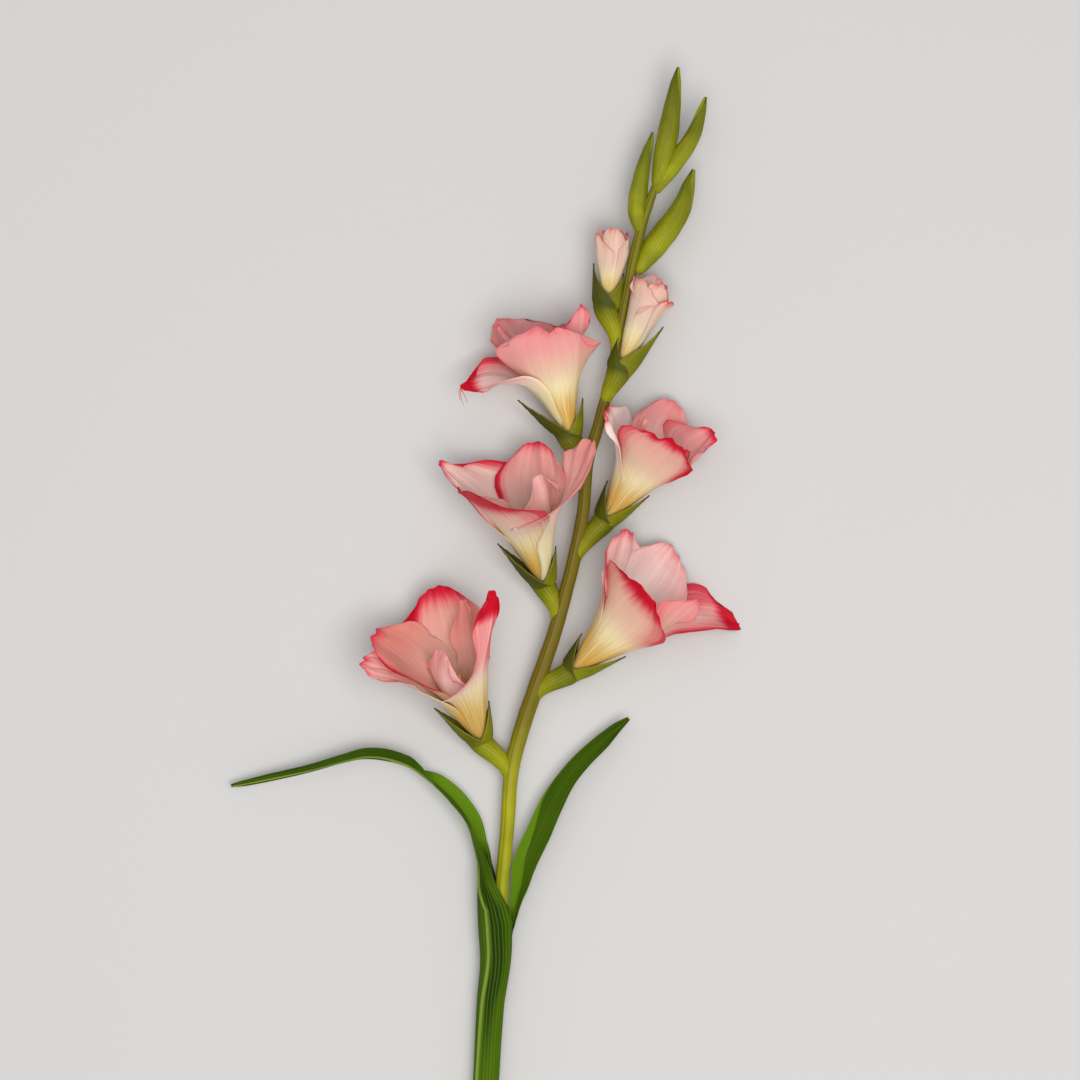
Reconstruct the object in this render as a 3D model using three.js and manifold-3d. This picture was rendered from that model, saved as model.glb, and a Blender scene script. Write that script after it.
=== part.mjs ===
// A cut gladiolus spike lying on its back: five open flowers, two half-open ones and four
// green buds on one stem, with two long leaves whose sheaths wrap the foot of the stem.
// Millimetres. The stem runs along +Y towards its tip, +Z is up, the table is at z = 0.
import * as THREE from 'three';
import Module from 'manifold-3d';

const wasm = await Module();
wasm.setup();

// ---- driving dimensions ----
const PETAL_THICKNESS = 0.8;
const LEAF_THICKNESS = 0.9;
const BRACT_THICKNESS = 1.2;
const FILAMENT_RADIUS = 0.7;
const STIGMA_RADIUS = 1.3;
const FINEST = 0.15;              // smaller steps than this in a surface are smoothed away
const GAP = 0.35;                 // clearance between neighbouring pieces
const TUBE_RADIUS = 2.6;          // foot of the flower's funnel
const LAYER = 1.5;                // outer petals lie this far out, inner ones this far in
const LAP = 1.0;                  // one margin of a petal lies over its neighbour, one under
const FUNNEL = 19;                // half angle of an open flower's funnel, degrees
const WRAP = 1.2;                 // at its foot a petal reaches this far round the funnel, radians
const NARROW_FUNNEL = 12;         // the same on a flower that is still furled
const FUNNEL_EASE = 2.5;          // the space kept clear for it opens this much wider
const FOOT_START = -2.5;          // the solid foot of a flower, along its axis
const FOOT_LENGTH = 9;
const CUP_DEPTH = 32;             // how far up a flower its green cup is kept clear of it
const FLORET_GIRTH = 8.6;         // radius of the green cup below an open flower
const HALF_BUD_GIRTH = 7.6;       // and below a half-open one
const BRANCH_RISE = 16;           // a flower's branch leaves the stem this far below its fork
const PRESS_SOFTNESS = 4;         // how gently a petal flattens on the table
const PRESS_FLAT = 0.3;           // what is lower than this is flat on the table
const PRESS_SINK = 0.12;          // petal worn away where it is flat on the table
const INNER_LIFT = 1.3;           // the inner petals rest on the outer ones

// How finely the pieces are divided.
const PETAL_ROWS = 6;
const PETAL_COLUMNS = 5;
const FURLED_ROWS = 6;
const FURLED_COLUMNS = 20;
const BRACT_ROWS = 4;
const BRACT_COLUMNS = 3;
const LEAF_COLUMNS = 12;
const LEFT_LEAF_ROWS = 22;
const RIGHT_LEAF_ROWS = 18;
const STEM_SIDES = 10;
const STEM_STEPS = 30;
const CUP_SIDES = 7;
const CUP_STEPS = 6;
const CLEARANCE_SIDES = 12;
const BUD_SIDES = 10;
const BUD_STEPS = 9;
const STAMEN_SIDES = 4;
const STAMEN_STEPS = 3;
const MIDLINE_STEPS = 100;

// Stem: centre line and radius.
const STEM = [
  { at: [-6, -400, 8.35], r: 4.6 },
  { at: [-1, -320, 9.0], r: 4.6 },
  { at: [2, -258, 9.6], r: 4.6 },
  { at: [8, -180, 11.6], r: 4.6 },
  { at: [12, -128, 13.0], r: 4.5 },
  { at: [15, -95, 13.5], r: 4.5 },
  { at: [18, -56, 14.0], r: 4.8 },
  { at: [23.5, -33, 14.5], r: 5.2 },
  { at: [33, -4, 16.5], r: 5.2 },
  { at: [45, 31, 18.5], r: 4.7 },
  { at: [53.5, 61, 20], r: 4.5 },
  { at: [60.5, 90, 21], r: 4.3 },
  { at: [64.5, 113, 22], r: 4.1 },
  { at: [67.5, 145, 23], r: 3.9 },
  { at: [73.5, 165, 24], r: 3.8 },
  { at: [80.5, 191, 25], r: 3.6 },
  { at: [84.5, 210, 25.5], r: 3.5 },
  { at: [88, 230, 26], r: 3.3 },
  { at: [93.5, 256, 27], r: 3.4 },
  { at: [97, 274, 27.5], r: 3.9 },
  { at: [102, 295, 28], r: 3.2 },
  { at: [108, 314, 28.5], r: 2.9 },
  { at: [112, 325, 29], r: 2.2 },
];

// Tables of [place along the piece, share of the greatest]: half width of a petal and a
// bract, girth of a furled flower, a green cup, a bud and an anther.
const PETAL_OUTLINE = [
  [0, 0.13], [0.12, 0.3], [0.25, 0.5], [0.4, 0.72], [0.55, 0.9],
  [0.7, 1], [0.8, 0.98], [0.9, 0.84], [1, 0.6],
];
const POINTED_OUTLINE = [
  [0, 0.13], [0.12, 0.3], [0.25, 0.5], [0.4, 0.75], [0.55, 0.95], [0.7, 0.9], [0.85, 0.6], [1, 0.2],
];
const FOLDED_OUTLINE = [
  [0, 0.3], [0.4, 1], [0.52, 0.62], [0.66, 0.45], [0.82, 0.62], [0.94, 0.55], [1, 0.3],
];
const BLUNT_OUTLINE = [
  [0, 0.13], [0.12, 0.3], [0.25, 0.5], [0.4, 0.7], [0.6, 0.88], [0.8, 1], [0.93, 0.98], [1, 0.75],
];
const LOBE_OUTLINE = [[0, 0.13], [0.45, 0.42], [0.62, 0.85], [0.78, 1], [0.9, 0.88], [1, 0.55]];
const BRACT_OUTLINE = [[0, 0.62], [0.2, 0.95], [0.4, 1], [0.6, 0.8], [0.8, 0.45], [1, 0.08]];
const FURLED_GIRTH = [[0, 0.34], [0.2, 0.56], [0.45, 0.84], [0.75, 1], [0.9, 0.98], [1, 0.94]];
const CUP_GIRTH = [[0, 0.36], [0.3, 0.56], [0.65, 0.92], [0.85, 1.04], [1, 1.06]];
const SPINDLE = [[0, 0.34], [0.12, 0.62], [0.3, 0.95], [0.5, 1], [0.7, 0.84], [0.88, 0.5], [1, 0.14]];
const ANTHER = [[0, 0.57], [0.3, 1], [0.8, 0.93], [1, 0.43]];
const ANTHER_RADIUS = 1.4;

// Profiles about a flower's axis: [distance along, radius].
const FLORET_FOOT = [[FOOT_START, 3.6], [3.25, 5.6], [FOOT_LENGTH, 6.6]];
const HALF_BUD_FOOT = [[FOOT_START, 3], [3.25, 4.4], [FOOT_LENGTH, 5.2]];

// Open flowers. axis: direction in the picture plane and tilt up, degrees. tip: where the
// petal's tip is. The first three petals are the outer layer.
const FLORETS = [
  {
    base: [-3, -33, 16], axis: [110, 32], stem: [12, -58, 14],
    petals: [
      {
        tip: [6, 61, 84], width: 15, cup: 0.9, lean: 35, twist: 35, outline: FOLDED_OUTLINE,
        wrap: [0.42, 0.6],
      },
      { tip: [-31, 63, 24], width: 31, cup: 0.3, skew: 0.1 },
      { tip: [-79, 14, 58], width: 16, twist: 15, outline: BLUNT_OUTLINE },
      { tip: [-27, 23, 57], width: 24, cup: 0.3, rounding: 0.25, outline: LOBE_OUTLINE },
      { tip: [-12, 54, 52], width: 15, cup: 0.9 },
      { tip: [-72, 32, 52], width: 31, wrap: [0.4, 0.64] },
    ],
    bracts: [[-31, -15, 36], [3, -11, 30]],
  },
  {
    base: [60, 11, 20], axis: [42, 20], stem: [40, -6, 17],
    petals: [
      { tip: [105, 60, 91], width: 34, ruffle: 1.5, phase: 1, skew: -0.1 },
      { tip: [166, 39, -6], width: 20, lean: -5, skew: 0.25, outline: BLUNT_OUTLINE },
      { tip: [93, 100, 34], width: 29, cup: 0.2 },
      { tip: [139, 54, 50], width: 13, cup: 0.7, twist: 50, outline: BLUNT_OUTLINE, wrap: [0.1, 0.35] },
      { tip: [123, 88, 8], width: 29, cup: 0.4, ruffle: 1.5 },
      { tip: [81, 80, 52], width: 10, cup: 0.6, twist: 20, wrap: [0.1, 0.35] },
    ],
    bracts: [[64, 32, 28], [90, 20, 33]],
  },
  {
    base: [38, 69, 20], axis: [104, 30], stem: [42, 44, 19],
    petals: [
      {
        tip: [70, 156, 47], width: 26, lean: 85, twist: -12, skew: 0.1, hinge: 0.48, rounding: 0.2,
        wrap: [0.48, 0.6],
      },
      { tip: [-29, 144, 36], width: 26, skew: -0.35, outline: POINTED_OUTLINE },
      { tip: [-11, 124, 86], width: 46, cup: 0.4, skew: -0.05, slant: 0.12 },
      { tip: [34, 134, 66], width: 28, cup: 0.3, rounding: 0.25, outline: LOBE_OUTLINE },
      { tip: [34, 157, 34], width: 28, cup: 0.6 },
      { tip: [0, 120, 50], width: 14, cup: 0.7 },
    ],
    bracts: [[10, 91, 40], [46.5, 89, 33]],
  },
  {
    base: [81, 110, 20], axis: [56, 18], stem: [65, 84, 21],
    petals: [
      { tip: [123, 156, 80], width: 29, cup: 0.4, skew: -0.12 },
      { tip: [149, 163, 44], width: 24, ruffle: 4, twist: -35, skew: 0.3 },
      { tip: [79, 177, 52], width: 24, cup: 0.2, twist: 12, hinge: 0.45 },
      { tip: [132, 151, 46], width: 13, wrap: [0.1, 0.35] },
      { tip: [122, 184, 12], width: 25, roll: 4 },
      { tip: [105, 173, 56], width: 15, cup: 0.6 },
    ],
    bracts: [[83, 130, 28], [107, 122, 31]],
  },
  {
    base: [55, 164, 22], axis: [104, 6], stem: [65, 138, 23],
    petals: [
      { tip: [42, 231, 60], width: 36, ruffle: 1, skew: -0.05, slant: -0.14, outline: BLUNT_OUTLINE },
      { tip: [40, 233, -18], width: 24, cup: 0.4 },
      { tip: [-15, 192, 28], width: 27, twist: 40, hinge: 0.3, outline: POINTED_OUTLINE },
      { tip: [64, 245, 34], width: 9, cup: 0.9, twist: 45, wrap: [0.1, 0.35] },
      { tip: [11, 237, -4], width: 26 },
      { tip: [8, 232, 34], width: 22 },
    ],
    bracts: [[23, 184, 29], [64, 185, 26]],
  },
];

// Half-open flowers: petals that stay furled, with a lip that turns out on one side.
const HALF_BUDS = [
  {
    base: [80, 248, 26.5], axis: [84, 8], stem: [84, 222, 26], length: 47, girth: 9.6,
    turns: 1.7, lip: 3, lipSide: 64, bracts: [[72, 272, 31], [88, 266, 30]],
  },
  {
    base: [91.5, 203, 26.5], axis: [66, 8], stem: [85, 186, 25], length: 65, girth: 12,
    turns: 1.7, lip: 11, lipSide: 75, bracts: [[96, 227, 41], [116, 231, 33]],
  },
];

// Closed buds: spine from foot to tip and greatest radius.
const BUDS = [
  { spine: [[99, 266, 27], [111, 284, 26], [127, 306, 25], [136, 333, 25]], r: 7.6 },
  { spine: [[101, 292, 28], [99, 306, 28], [102, 328, 28], [109.5, 357, 28]], r: 5.5 },
  { spine: [[111, 318, 29], [122, 335, 28], [135, 355, 27], [143.5, 380, 26]], r: 5.4 },
  { spine: [[111, 322, 29], [117, 345, 30], [122, 372, 30], [126, 399, 30]], r: 6.3 },
];

// Leaves: points along the midrib with half width, curl radius and turn of the face away
// from the viewer. The first stations wrap the stem as a sheath.
const LEAF_LEFT = [
  { at: [-14, -400, 8.35], w: 23, curl: 8, turn: 90 },
  { at: [-9, -320, 9], w: 23, curl: 8, turn: 90 },
  { at: [-6.8, -258, 9.5], w: 24, curl: 8.4, turn: 90 },
  { at: [-4.4, -206, 10.8], w: 25.5, curl: 8.9, turn: 90 },
  { at: [-2.3, -180, 12], w: 28.5, curl: 10, turn: 90 },
  { at: [-3.6, -157, 13], w: 31, curl: 12, turn: 90 },
  { at: [-3.8, -150, 13.2], w: 29, curl: 12, turn: 90 },
  { at: [-4, -144, 13.3], w: 27, curl: 11.6, turn: 90 },
  { at: [-4, -134, 13.4], w: 20.5, curl: 10.5, turn: 90 },
  { at: [-3, -117, 13.8], w: 13, curl: 10, turn: 84 },
  { at: [-5.5, -103, 14], w: 10.5, curl: 11, turn: 70 },
  { at: [-10, -89, 14], w: 9.5, curl: 12, turn: 55 },
  { at: [-19, -76, 14], w: 9, curl: 14, turn: 50 },
  { at: [-31, -65, 14], w: 8.6, curl: 16, turn: 60 },
  { at: [-42, -57.5, 13.5], w: 8.5, curl: 16, turn: 98 },
  { at: [-50, -53, 13], w: 8.5, curl: 16, turn: 116 },
  { at: [-64, -48.5, 12.5], w: 8.5, curl: 18, turn: 120 },
  { at: [-77, -47.5, 12], w: 8, curl: 18, turn: 118 },
  { at: [-90, -50, 11], w: 7.2, curl: 18, turn: 112 },
  { at: [-113, -56, 9.5], w: 5.8, curl: 18, turn: 116 },
  { at: [-139, -61.5, 8], w: 4.2, curl: 18, turn: 124 },
  { at: [-156, -65, 7], w: 2.8, curl: 18, turn: 128 },
  { at: [-164, -66.5, 6.5], w: 1.2, curl: 18, turn: 130 },
];
const LEAF_RIGHT = [
  { at: [0.6, -400, 8.35], w: 18.6, curl: 6.6, turn: 90 },
  { at: [5.7, -320, 9], w: 18.6, curl: 6.6, turn: 90 },
  { at: [8.6, -258, 9.5], w: 19, curl: 6.9, turn: 90 },
  { at: [12, -206, 10.8], w: 20, curl: 7.5, turn: 90 },
  { at: [16.3, -180, 12], w: 21, curl: 8.5, turn: 90 },
  { at: [17.4, -168, 12.6], w: 9, curl: 8, turn: 88 },
  { at: [19.2, -157, 13], w: 4, curl: 6, turn: 50 },
  { at: [19.8, -150, 13], w: 4.2, curl: 5.2, turn: 14 },
  { at: [20.6, -144, 13.2], w: 5.4, curl: 6.4, turn: 10 },
  { at: [22.2, -137.5, 13.3], w: 6.8, curl: 8.2, turn: 10 },
  { at: [24, -131, 13.5], w: 7.8, curl: 10, turn: 8 },
  { at: [26.4, -118, 13.5], w: 9.4, curl: 15.4, turn: 5 },
  { at: [36.1, -96.5, 13.5], w: 9.4, curl: 20, turn: 8 },
  { at: [44.8, -77.5, 13.5], w: 9.2, curl: 20.4, turn: 10 },
  { at: [54, -62.5, 13], w: 7.6, curl: 17, turn: 12 },
  { at: [64.9, -49.5, 12.5], w: 6.9, curl: 16, turn: 14 },
  { at: [77.6, -37.5, 12], w: 6, curl: 14, turn: 16 },
  { at: [86.8, -28.5, 12], w: 3.8, curl: 10, turn: 20 },
  { at: [94, -22.5, 12], w: 1.1, curl: 10, turn: 25 },
];

// Tables of [place along the leaf, value]: how sharply it is folded lengthwise, and where
// between its margins, at -1 and 1, the fold runs.
const LEFT_KEEL = [[0, 0], [0.45, 0], [0.6, 0.5], [1, 0.5]];
const LEFT_CREASE = [[0, 0], [1, 0]];
const RIGHT_KEEL = [[0, 0], [0.26, 0], [0.36, 1], [0.8, 1], [1, 0.4]];
const RIGHT_CREASE = [[0, 0], [0.6, 0], [0.667, -0.45], [0.722, -0.85], [0.778, -1], [1, -1]];
const KEEL_SLOPE = 1.1;           // steepest slope beside a fold, radians
const KEEL_ROUND = 0.5;           // the fold's edge is this much rounded

// ---- small helpers ----
const DEGREE = Math.PI / 180;

function ease(x, from, to) {
  const t = THREE.MathUtils.clamp((x - from) / (to - from), 0, 1);
  return t * t * (3 - 2 * t);
}

// Linear reading of a table of [position, value].
function read(table, x) {
  let i = 1;
  while (i < table.length - 1 && table[i][0] < x) i += 1;
  const [x0, y0] = table[i - 1];
  const [x1, y1] = table[i];
  const t = THREE.MathUtils.clamp((x - x0) / (x1 - x0), 0, 1);
  return y0 + (y1 - y0) * t;
}

const vector = (p) => new THREE.Vector3(...p);

// ---- solids ----
function solidOf(positions, triangles) {
  const mesh = new wasm.Mesh({
    numProp: 3,
    vertProperties: new Float32Array(positions),
    triVerts: new Uint32Array(triangles),
  });
  return new wasm.Manifold(mesh);
}

// A thin sheet laid over a grid of points, with faces on both sides and a closed rim.
function sheet(grid, thickness) {
  const rows = grid.length;
  const columns = grid[0].length;
  const positions = [];
  for (const side of [0.5, -0.5]) {
    for (let i = 0; i < rows; i += 1) {
      for (let j = 0; j < columns; j += 1) {
        const along = grid[Math.min(i + 1, rows - 1)][j].clone().sub(grid[Math.max(i - 1, 0)][j]);
        const across = grid[i][Math.min(j + 1, columns - 1)].clone().sub(grid[i][Math.max(j - 1, 0)]);
        const normal = along.cross(across).normalize();
        const point = grid[i][j].clone().addScaledVector(normal, side * thickness);
        positions.push(point.x, point.y, Math.max(point.z, 0));
      }
    }
  }
  const index = (i, j) => i * columns + j;
  const under = rows * columns;
  const triangles = [];
  for (let i = 0; i < rows - 1; i += 1) {
    for (let j = 0; j < columns - 1; j += 1) {
      const [a, b, c, d] = [index(i, j), index(i + 1, j), index(i + 1, j + 1), index(i, j + 1)];
      triangles.push(a, b, c, a, c, d);
      triangles.push(under + a, under + c, under + b, under + a, under + d, under + c);
    }
  }
  const wall = (p, q) => triangles.push(q, p, under + p, q, under + p, under + q);
  for (let i = 0; i < rows - 1; i += 1) {
    wall(index(i, 0), index(i + 1, 0));
    wall(index(i + 1, columns - 1), index(i, columns - 1));
  }
  for (let j = 0; j < columns - 1; j += 1) {
    wall(index(rows - 1, j), index(rows - 1, j + 1));
    wall(index(0, j + 1), index(0, j));
  }
  return solidOf(positions, triangles);
}

// A round rod whose centre line and radius change along its length.
function rod(points, radiusAt, sides, steps) {
  const curve = new THREE.CatmullRomCurve3(points.map(vector), false, 'centripetal');
  const frames = curve.computeFrenetFrames(steps, false);
  const positions = [];
  for (let i = 0; i <= steps; i += 1) {
    const centre = curve.getPointAt(i / steps);
    const radius = radiusAt(i / steps);
    for (let j = 0; j < sides; j += 1) {
      const angle = (2 * Math.PI * j) / sides;
      const point = centre.clone()
        .addScaledVector(frames.normals[i], radius * Math.cos(angle))
        .addScaledVector(frames.binormals[i], radius * Math.sin(angle));
      positions.push(point.x, point.y, point.z);
    }
  }
  const triangles = [];
  for (let i = 0; i < steps; i += 1) {
    for (let j = 0; j < sides; j += 1) {
      const next = (j + 1) % sides;
      const [a, b] = [i * sides + j, i * sides + next];
      const [c, d] = [a + sides, b + sides];
      triangles.push(a, b, d, a, d, c);
    }
  }
  for (let j = 1; j < sides - 1; j += 1) {
    triangles.push(0, j + 1, j);
    const last = steps * sides;
    triangles.push(last, last + j, last + j + 1);
  }
  return solidOf(positions, triangles);
}

const joined = (solids) => solids.reduce((whole, next) => whole.add(next));

const without = (solid, ...others) => others.reduce((left, other) => left.subtract(other), solid);

// The largest body of a solid, without scraps and sealed hollows.
function body(solid) {
  const bodies = solid.decompose().filter((part) => part.volume() > 0);
  return bodies.reduce((best, next) => (next.volume() > best.volume() ? next : best));
}

// The same with its finest steps smoothed away.
const settled = (solid) => body(body(solid).asOriginal().simplify(FINEST));

// ---- petals ----
// The frame of a flower: its axis, the side of it that faces up and the side to its right.
function flowerFrame(base, [heading, tilt]) {
  const level = Math.cos(tilt * DEGREE);
  const axis = new THREE.Vector3(
    level * Math.cos(heading * DEGREE),
    level * Math.sin(heading * DEGREE),
    Math.sin(tilt * DEGREE),
  );
  const up = new THREE.Vector3(0, 0, 1).addScaledVector(axis, -axis.z).normalize();
  const right = axis.clone().cross(up);
  return { base: vector(base), axis, up, right };
}

// Midline of a petal: angle off the axis, height and distance from the axis, for length 1.
function midline(funnel, flare, hinge) {
  const angle = (u) => (funnel + (flare - funnel) * ease(u, hinge - 0.15, 1)) * DEGREE;
  const height = [0];
  const radius = [0];
  for (let k = 1; k <= MIDLINE_STEPS; k += 1) {
    const middle = angle((k - 0.5) / MIDLINE_STEPS);
    height.push(height[k - 1] + Math.cos(middle) / MIDLINE_STEPS);
    radius.push(radius[k - 1] + Math.sin(middle) / MIDLINE_STEPS);
  }
  const at = (list, u) => {
    const k = Math.min(Math.floor(u * MIDLINE_STEPS), MIDLINE_STEPS - 1);
    return list[k] + (list[k + 1] - list[k]) * (u * MIDLINE_STEPS - k);
  };
  return { angle, height: (u) => at(height, u), radius: (u) => at(radius, u) };
}

// The midline that leads from a petal's foot to a point out and up from it: the flare is
// found by halving the range it can be in.
function aimed(funnel, hinge, out, height) {
  let [low, high] = [-60, 170];
  let line = midline(funnel, low, hinge);
  while (high - low > 1e-6) {
    const flare = (low + high) / 2;
    line = midline(funnel, flare, hinge);
    if (Math.atan2(line.radius(1), line.height(1)) < Math.atan2(out, height)) low = flare;
    else high = flare;
  }
  return line;
}

// Grid of points over one petal, aimed at its tip. foot: distance of its foot from the
// axis. width: its half width. cup: its bend across. roll: its rim turned up. lean: its
// sideways curve. ruffle: height of its waves. twist: turn of its end. hinge: where it
// starts to flare. skew: how much wider one half is. slant: how much further one margin
// reaches. wrap: where along it the petal lets go of the funnel.
function petal(frame, foot, options, rows, columns) {
  const {
    tip, width, cup = 0.5, roll = 0, lean = 0, ruffle = 2, phase = 0, twist = 0,
    outline = PETAL_OUTLINE, funnel = FUNNEL, hinge = 0.36, rounding = 0.13, floor = 0,
    skew = 0, slant = 0, wrap = [0.28, 0.58],
  } = options;
  const reach = vector(tip).sub(frame.base);
  const height = reach.dot(frame.axis);
  const [x, y] = [reach.dot(frame.up), reach.dot(frame.right)];
  const out = Math.hypot(x, y) - foot;
  const side = Math.atan2(y, x) - lean * DEGREE;
  const line = aimed(funnel, hinge, out, height);
  const length = Math.hypot(height, out) / Math.hypot(line.height(1), line.radius(1));
  const grid = [];
  for (let i = 0; i <= rows; i += 1) {
    const s = i / rows;
    const row = [];
    for (let j = 0; j <= columns; j += 1) {
      const v = (2 * j) / columns - 1;
      const u = s * (1 - rounding * Math.abs(v) ** 2.2 * s ** 3) * (1 + slant * v * s * s);
      const h = length * line.height(u);
      const r = foot + length * line.radius(u);
      const angle = line.angle(u);
      const open = ease(s, hinge - 0.1, 0.95);
      const bend = (1 - open) / Math.max(r, 3) + (open * cup) / width;
      const spread = width * (1 + skew * v) * read(outline, s);
      const half = spread + Math.max(WRAP * r - spread, 0) * (1 - ease(s, ...wrap));
      const arc = bend * v * half;
      const turn = side + lean * DEGREE * ease(u, 0.4, 1);
      const outward = frame.up.clone().multiplyScalar(Math.cos(turn))
        .addScaledVector(frame.right, Math.sin(turn));
      const across = frame.up.clone().multiplyScalar(-Math.sin(turn))
        .addScaledVector(frame.right, Math.cos(turn));
      const normal = outward.clone().multiplyScalar(Math.cos(angle))
        .addScaledVector(frame.axis, -Math.sin(angle));
      const swing = twist * DEGREE * ease(s, 0.4, 1);
      const sideways = Math.sin(arc) / bend;
      const wave = ruffle * ease(s, 0.35, 0.9) * Math.abs(v) ** 1.6
          * Math.sin(4 * Math.PI * s + phase + (v > 0 ? 1.9 : 0))
        + 0.35 * ruffle * ease(s, 0.6, 1) * Math.sin(3 * Math.PI * v + phase * 1.7);
      const rolled = roll * ease(Math.abs(v), 0.45, 1) ** 1.5 * ease(s, 0.3, 0.8);
      const lift = sideways * Math.sin(swing) + wave + rolled - (1 - Math.cos(arc)) / bend;
      const point = frame.base.clone()
        .addScaledVector(frame.axis, h)
        .addScaledVector(outward, r + LAP * v * ease(s, 0, 0.2))
        .addScaledVector(across, sideways * Math.cos(swing))
        .addScaledVector(normal, lift);
      row.push(pressed(point, floor));
    }
    grid.push(row);
  }
  return grid;
}

// What would sink into the table lies flat on it instead.
function pressed(point, floor) {
  const height = point.z - floor;
  const soft = height > PRESS_SOFTNESS
    ? height
    : PRESS_SOFTNESS * Math.exp((height - PRESS_SOFTNESS) / PRESS_SOFTNESS);
  point.z = floor + PETAL_THICKNESS / 2 - PRESS_SINK + Math.max(soft - PRESS_FLAT, 0);
  return point;
}

// A solid of revolution about a flower's axis. profile: [distance along, radius].
function turned(frame, profile, sides) {
  const foot = frame.base.clone().addScaledVector(frame.axis, profile[0][0]);
  const head = frame.base.clone().addScaledVector(frame.axis, profile.at(-1)[0]);
  const span = profile.at(-1)[0] - profile[0][0];
  const radiusAt = (t) => read(profile, profile[0][0] + t * span);
  const middle = foot.clone().lerp(head, 0.5);
  return rod([foot, middle, head].map((p) => p.toArray()), radiusAt, sides, profile.length - 1);
}

// Six petals on a solid foot, fused into one body.
function flower(spec) {
  const frame = flowerFrame(spec.base, spec.axis);
  const petals = spec.petals.map((options, k) => {
    const outer = k < 3;
    const floor = outer ? 0 : INNER_LIFT;
    const foot = TUBE_RADIUS + (outer ? LAYER : -LAYER);
    const grid = petal(frame, foot, { ...options, floor }, PETAL_ROWS, PETAL_COLUMNS);
    return sheet(grid, PETAL_THICKNESS);
  });
  return settled(joined([...petals, turned(frame, FLORET_FOOT, CUP_SIDES)]));
}

// A flower that is still furled: one sheet wound round the axis, its rim cut into lobes
// and turned out on one side.
function furled({ base, axis, length, girth, turns, lip, lipSide }) {
  const frame = flowerFrame(base, axis);
  const grid = [];
  for (let i = 0; i <= FURLED_ROWS; i += 1) {
    const s = i / FURLED_ROWS;
    const row = [];
    for (let j = 0; j <= FURLED_COLUMNS; j += 1) {
      const v = j / FURLED_COLUMNS;
      const around = (lipSide + 360 * turns * (v - 0.5)) * DEGREE;
      const lobe = 1 - 0.1 * s * (1 - Math.abs(Math.sin(1.5 * around + 0.4)));
      const facing = 0.5 + 0.5 * Math.cos(around - lipSide * DEGREE);
      const swell = girth * read(FURLED_GIRTH, s);
      const flare = lip * ease(s, 0.55, 1) * facing ** 1.5;
      const r = swell + flare + 1.3 * ease(s, 0, 0.3) * (v - 0.5) * turns;
      const h = length * s * lobe * (1 - 0.12 * ease(s, 0.7, 1) * facing);
      const point = frame.base.clone()
        .addScaledVector(frame.axis, h)
        .addScaledVector(frame.up, r * Math.cos(around))
        .addScaledVector(frame.right, r * Math.sin(around));
      row.push(point);
    }
    grid.push(row);
  }
  return settled(sheet(grid, PETAL_THICKNESS).add(turned(frame, HALF_BUD_FOOT, CUP_SIDES)));
}

// Radius of the space a flower's funnel takes up, a little enlarged, at a height in it.
function funnelReach(height, funnel) {
  const widening = Math.tan((funnel + FUNNEL_EASE) * DEGREE);
  return TUBE_RADIUS + LAYER + PETAL_THICKNESS + GAP + (height - FOOT_START) * widening;
}

function funnelSpace(frame, funnel) {
  const profile = [
    [FOOT_START - GAP, funnelReach(FOOT_START, funnel)],
    [CUP_DEPTH, funnelReach(CUP_DEPTH, funnel)],
  ];
  return turned(frame, profile, CLEARANCE_SIDES);
}

// Green cup: a short branch from the stem with two pointed bracts.
function calyx(spec, funnel, girth) {
  const frame = flowerFrame(spec.base, spec.axis);
  const mouth = frame.base.clone().addScaledVector(frame.axis, 5);
  const throat = frame.base.clone().addScaledVector(frame.axis, -6);
  const [, stemPlace] = spec.stem;
  const root = stemPoint(stemPlace - BRANCH_RISE);
  const fork = stemPoint(stemPlace).lerp(throat, 0.18);
  const line = [root, fork, throat, frame.base, mouth].map((point) => point.toArray());
  const branch = rod(line, (t) => girth * read(CUP_GIRTH, t), CUP_SIDES, CUP_STEPS);
  const low = { ...frame, base: throat };
  const shape = {
    width: girth * 1.25, cup: 0.7, ruffle: 0, outline: BRACT_OUTLINE, funnel: 14, hinge: 0.4, rounding: 0,
    wrap: [0, 0.01],
  };
  const bracts = spec.bracts.map((end) => {
    const reach = vector(end).sub(frame.base);
    const height = reach.dot(frame.axis);
    const outward = reach.addScaledVector(frame.axis, -height);
    outward.setLength(Math.max(outward.length(), funnelReach(height, funnel) + BRACT_THICKNESS));
    const tip = frame.base.clone().addScaledVector(frame.axis, height).add(outward).toArray();
    const grid = petal(low, girth * 0.86, { ...shape, tip }, BRACT_ROWS, BRACT_COLUMNS);
    return sheet(grid, BRACT_THICKNESS);
  });
  return settled(without(joined([branch, ...bracts]), funnelSpace(frame, funnel), stemSpace));
}

// ---- stem ----
// The stem, or with something added to its radius the space that is kept clear round it.
function stemRod(extra) {
  const line = new THREE.CatmullRomCurve3(STEM.map(({ at }) => vector(at)), false, 'centripetal');
  const spans = STEM.slice(1).map(({ at }, k) => vector(at).distanceTo(vector(STEM[k].at)));
  let travelled = 0;
  const radii = STEM.map(({ r }, k) => {
    travelled += k > 0 ? spans[k - 1] : 0;
    return [travelled / line.getLength(), r + extra];
  });
  return rod(STEM.map(({ at }) => at), (t) => read(radii, t), STEM_SIDES, STEM_STEPS);
}
const stemSpace = stemRod(GAP);

// Point of the stem's centre line at a given place along Y.
function stemPoint(y) {
  const along = (axis) => read(STEM.map(({ at }) => [at[1], at[axis]]), y);
  return new THREE.Vector3(along(0), y, along(2));
}

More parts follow.
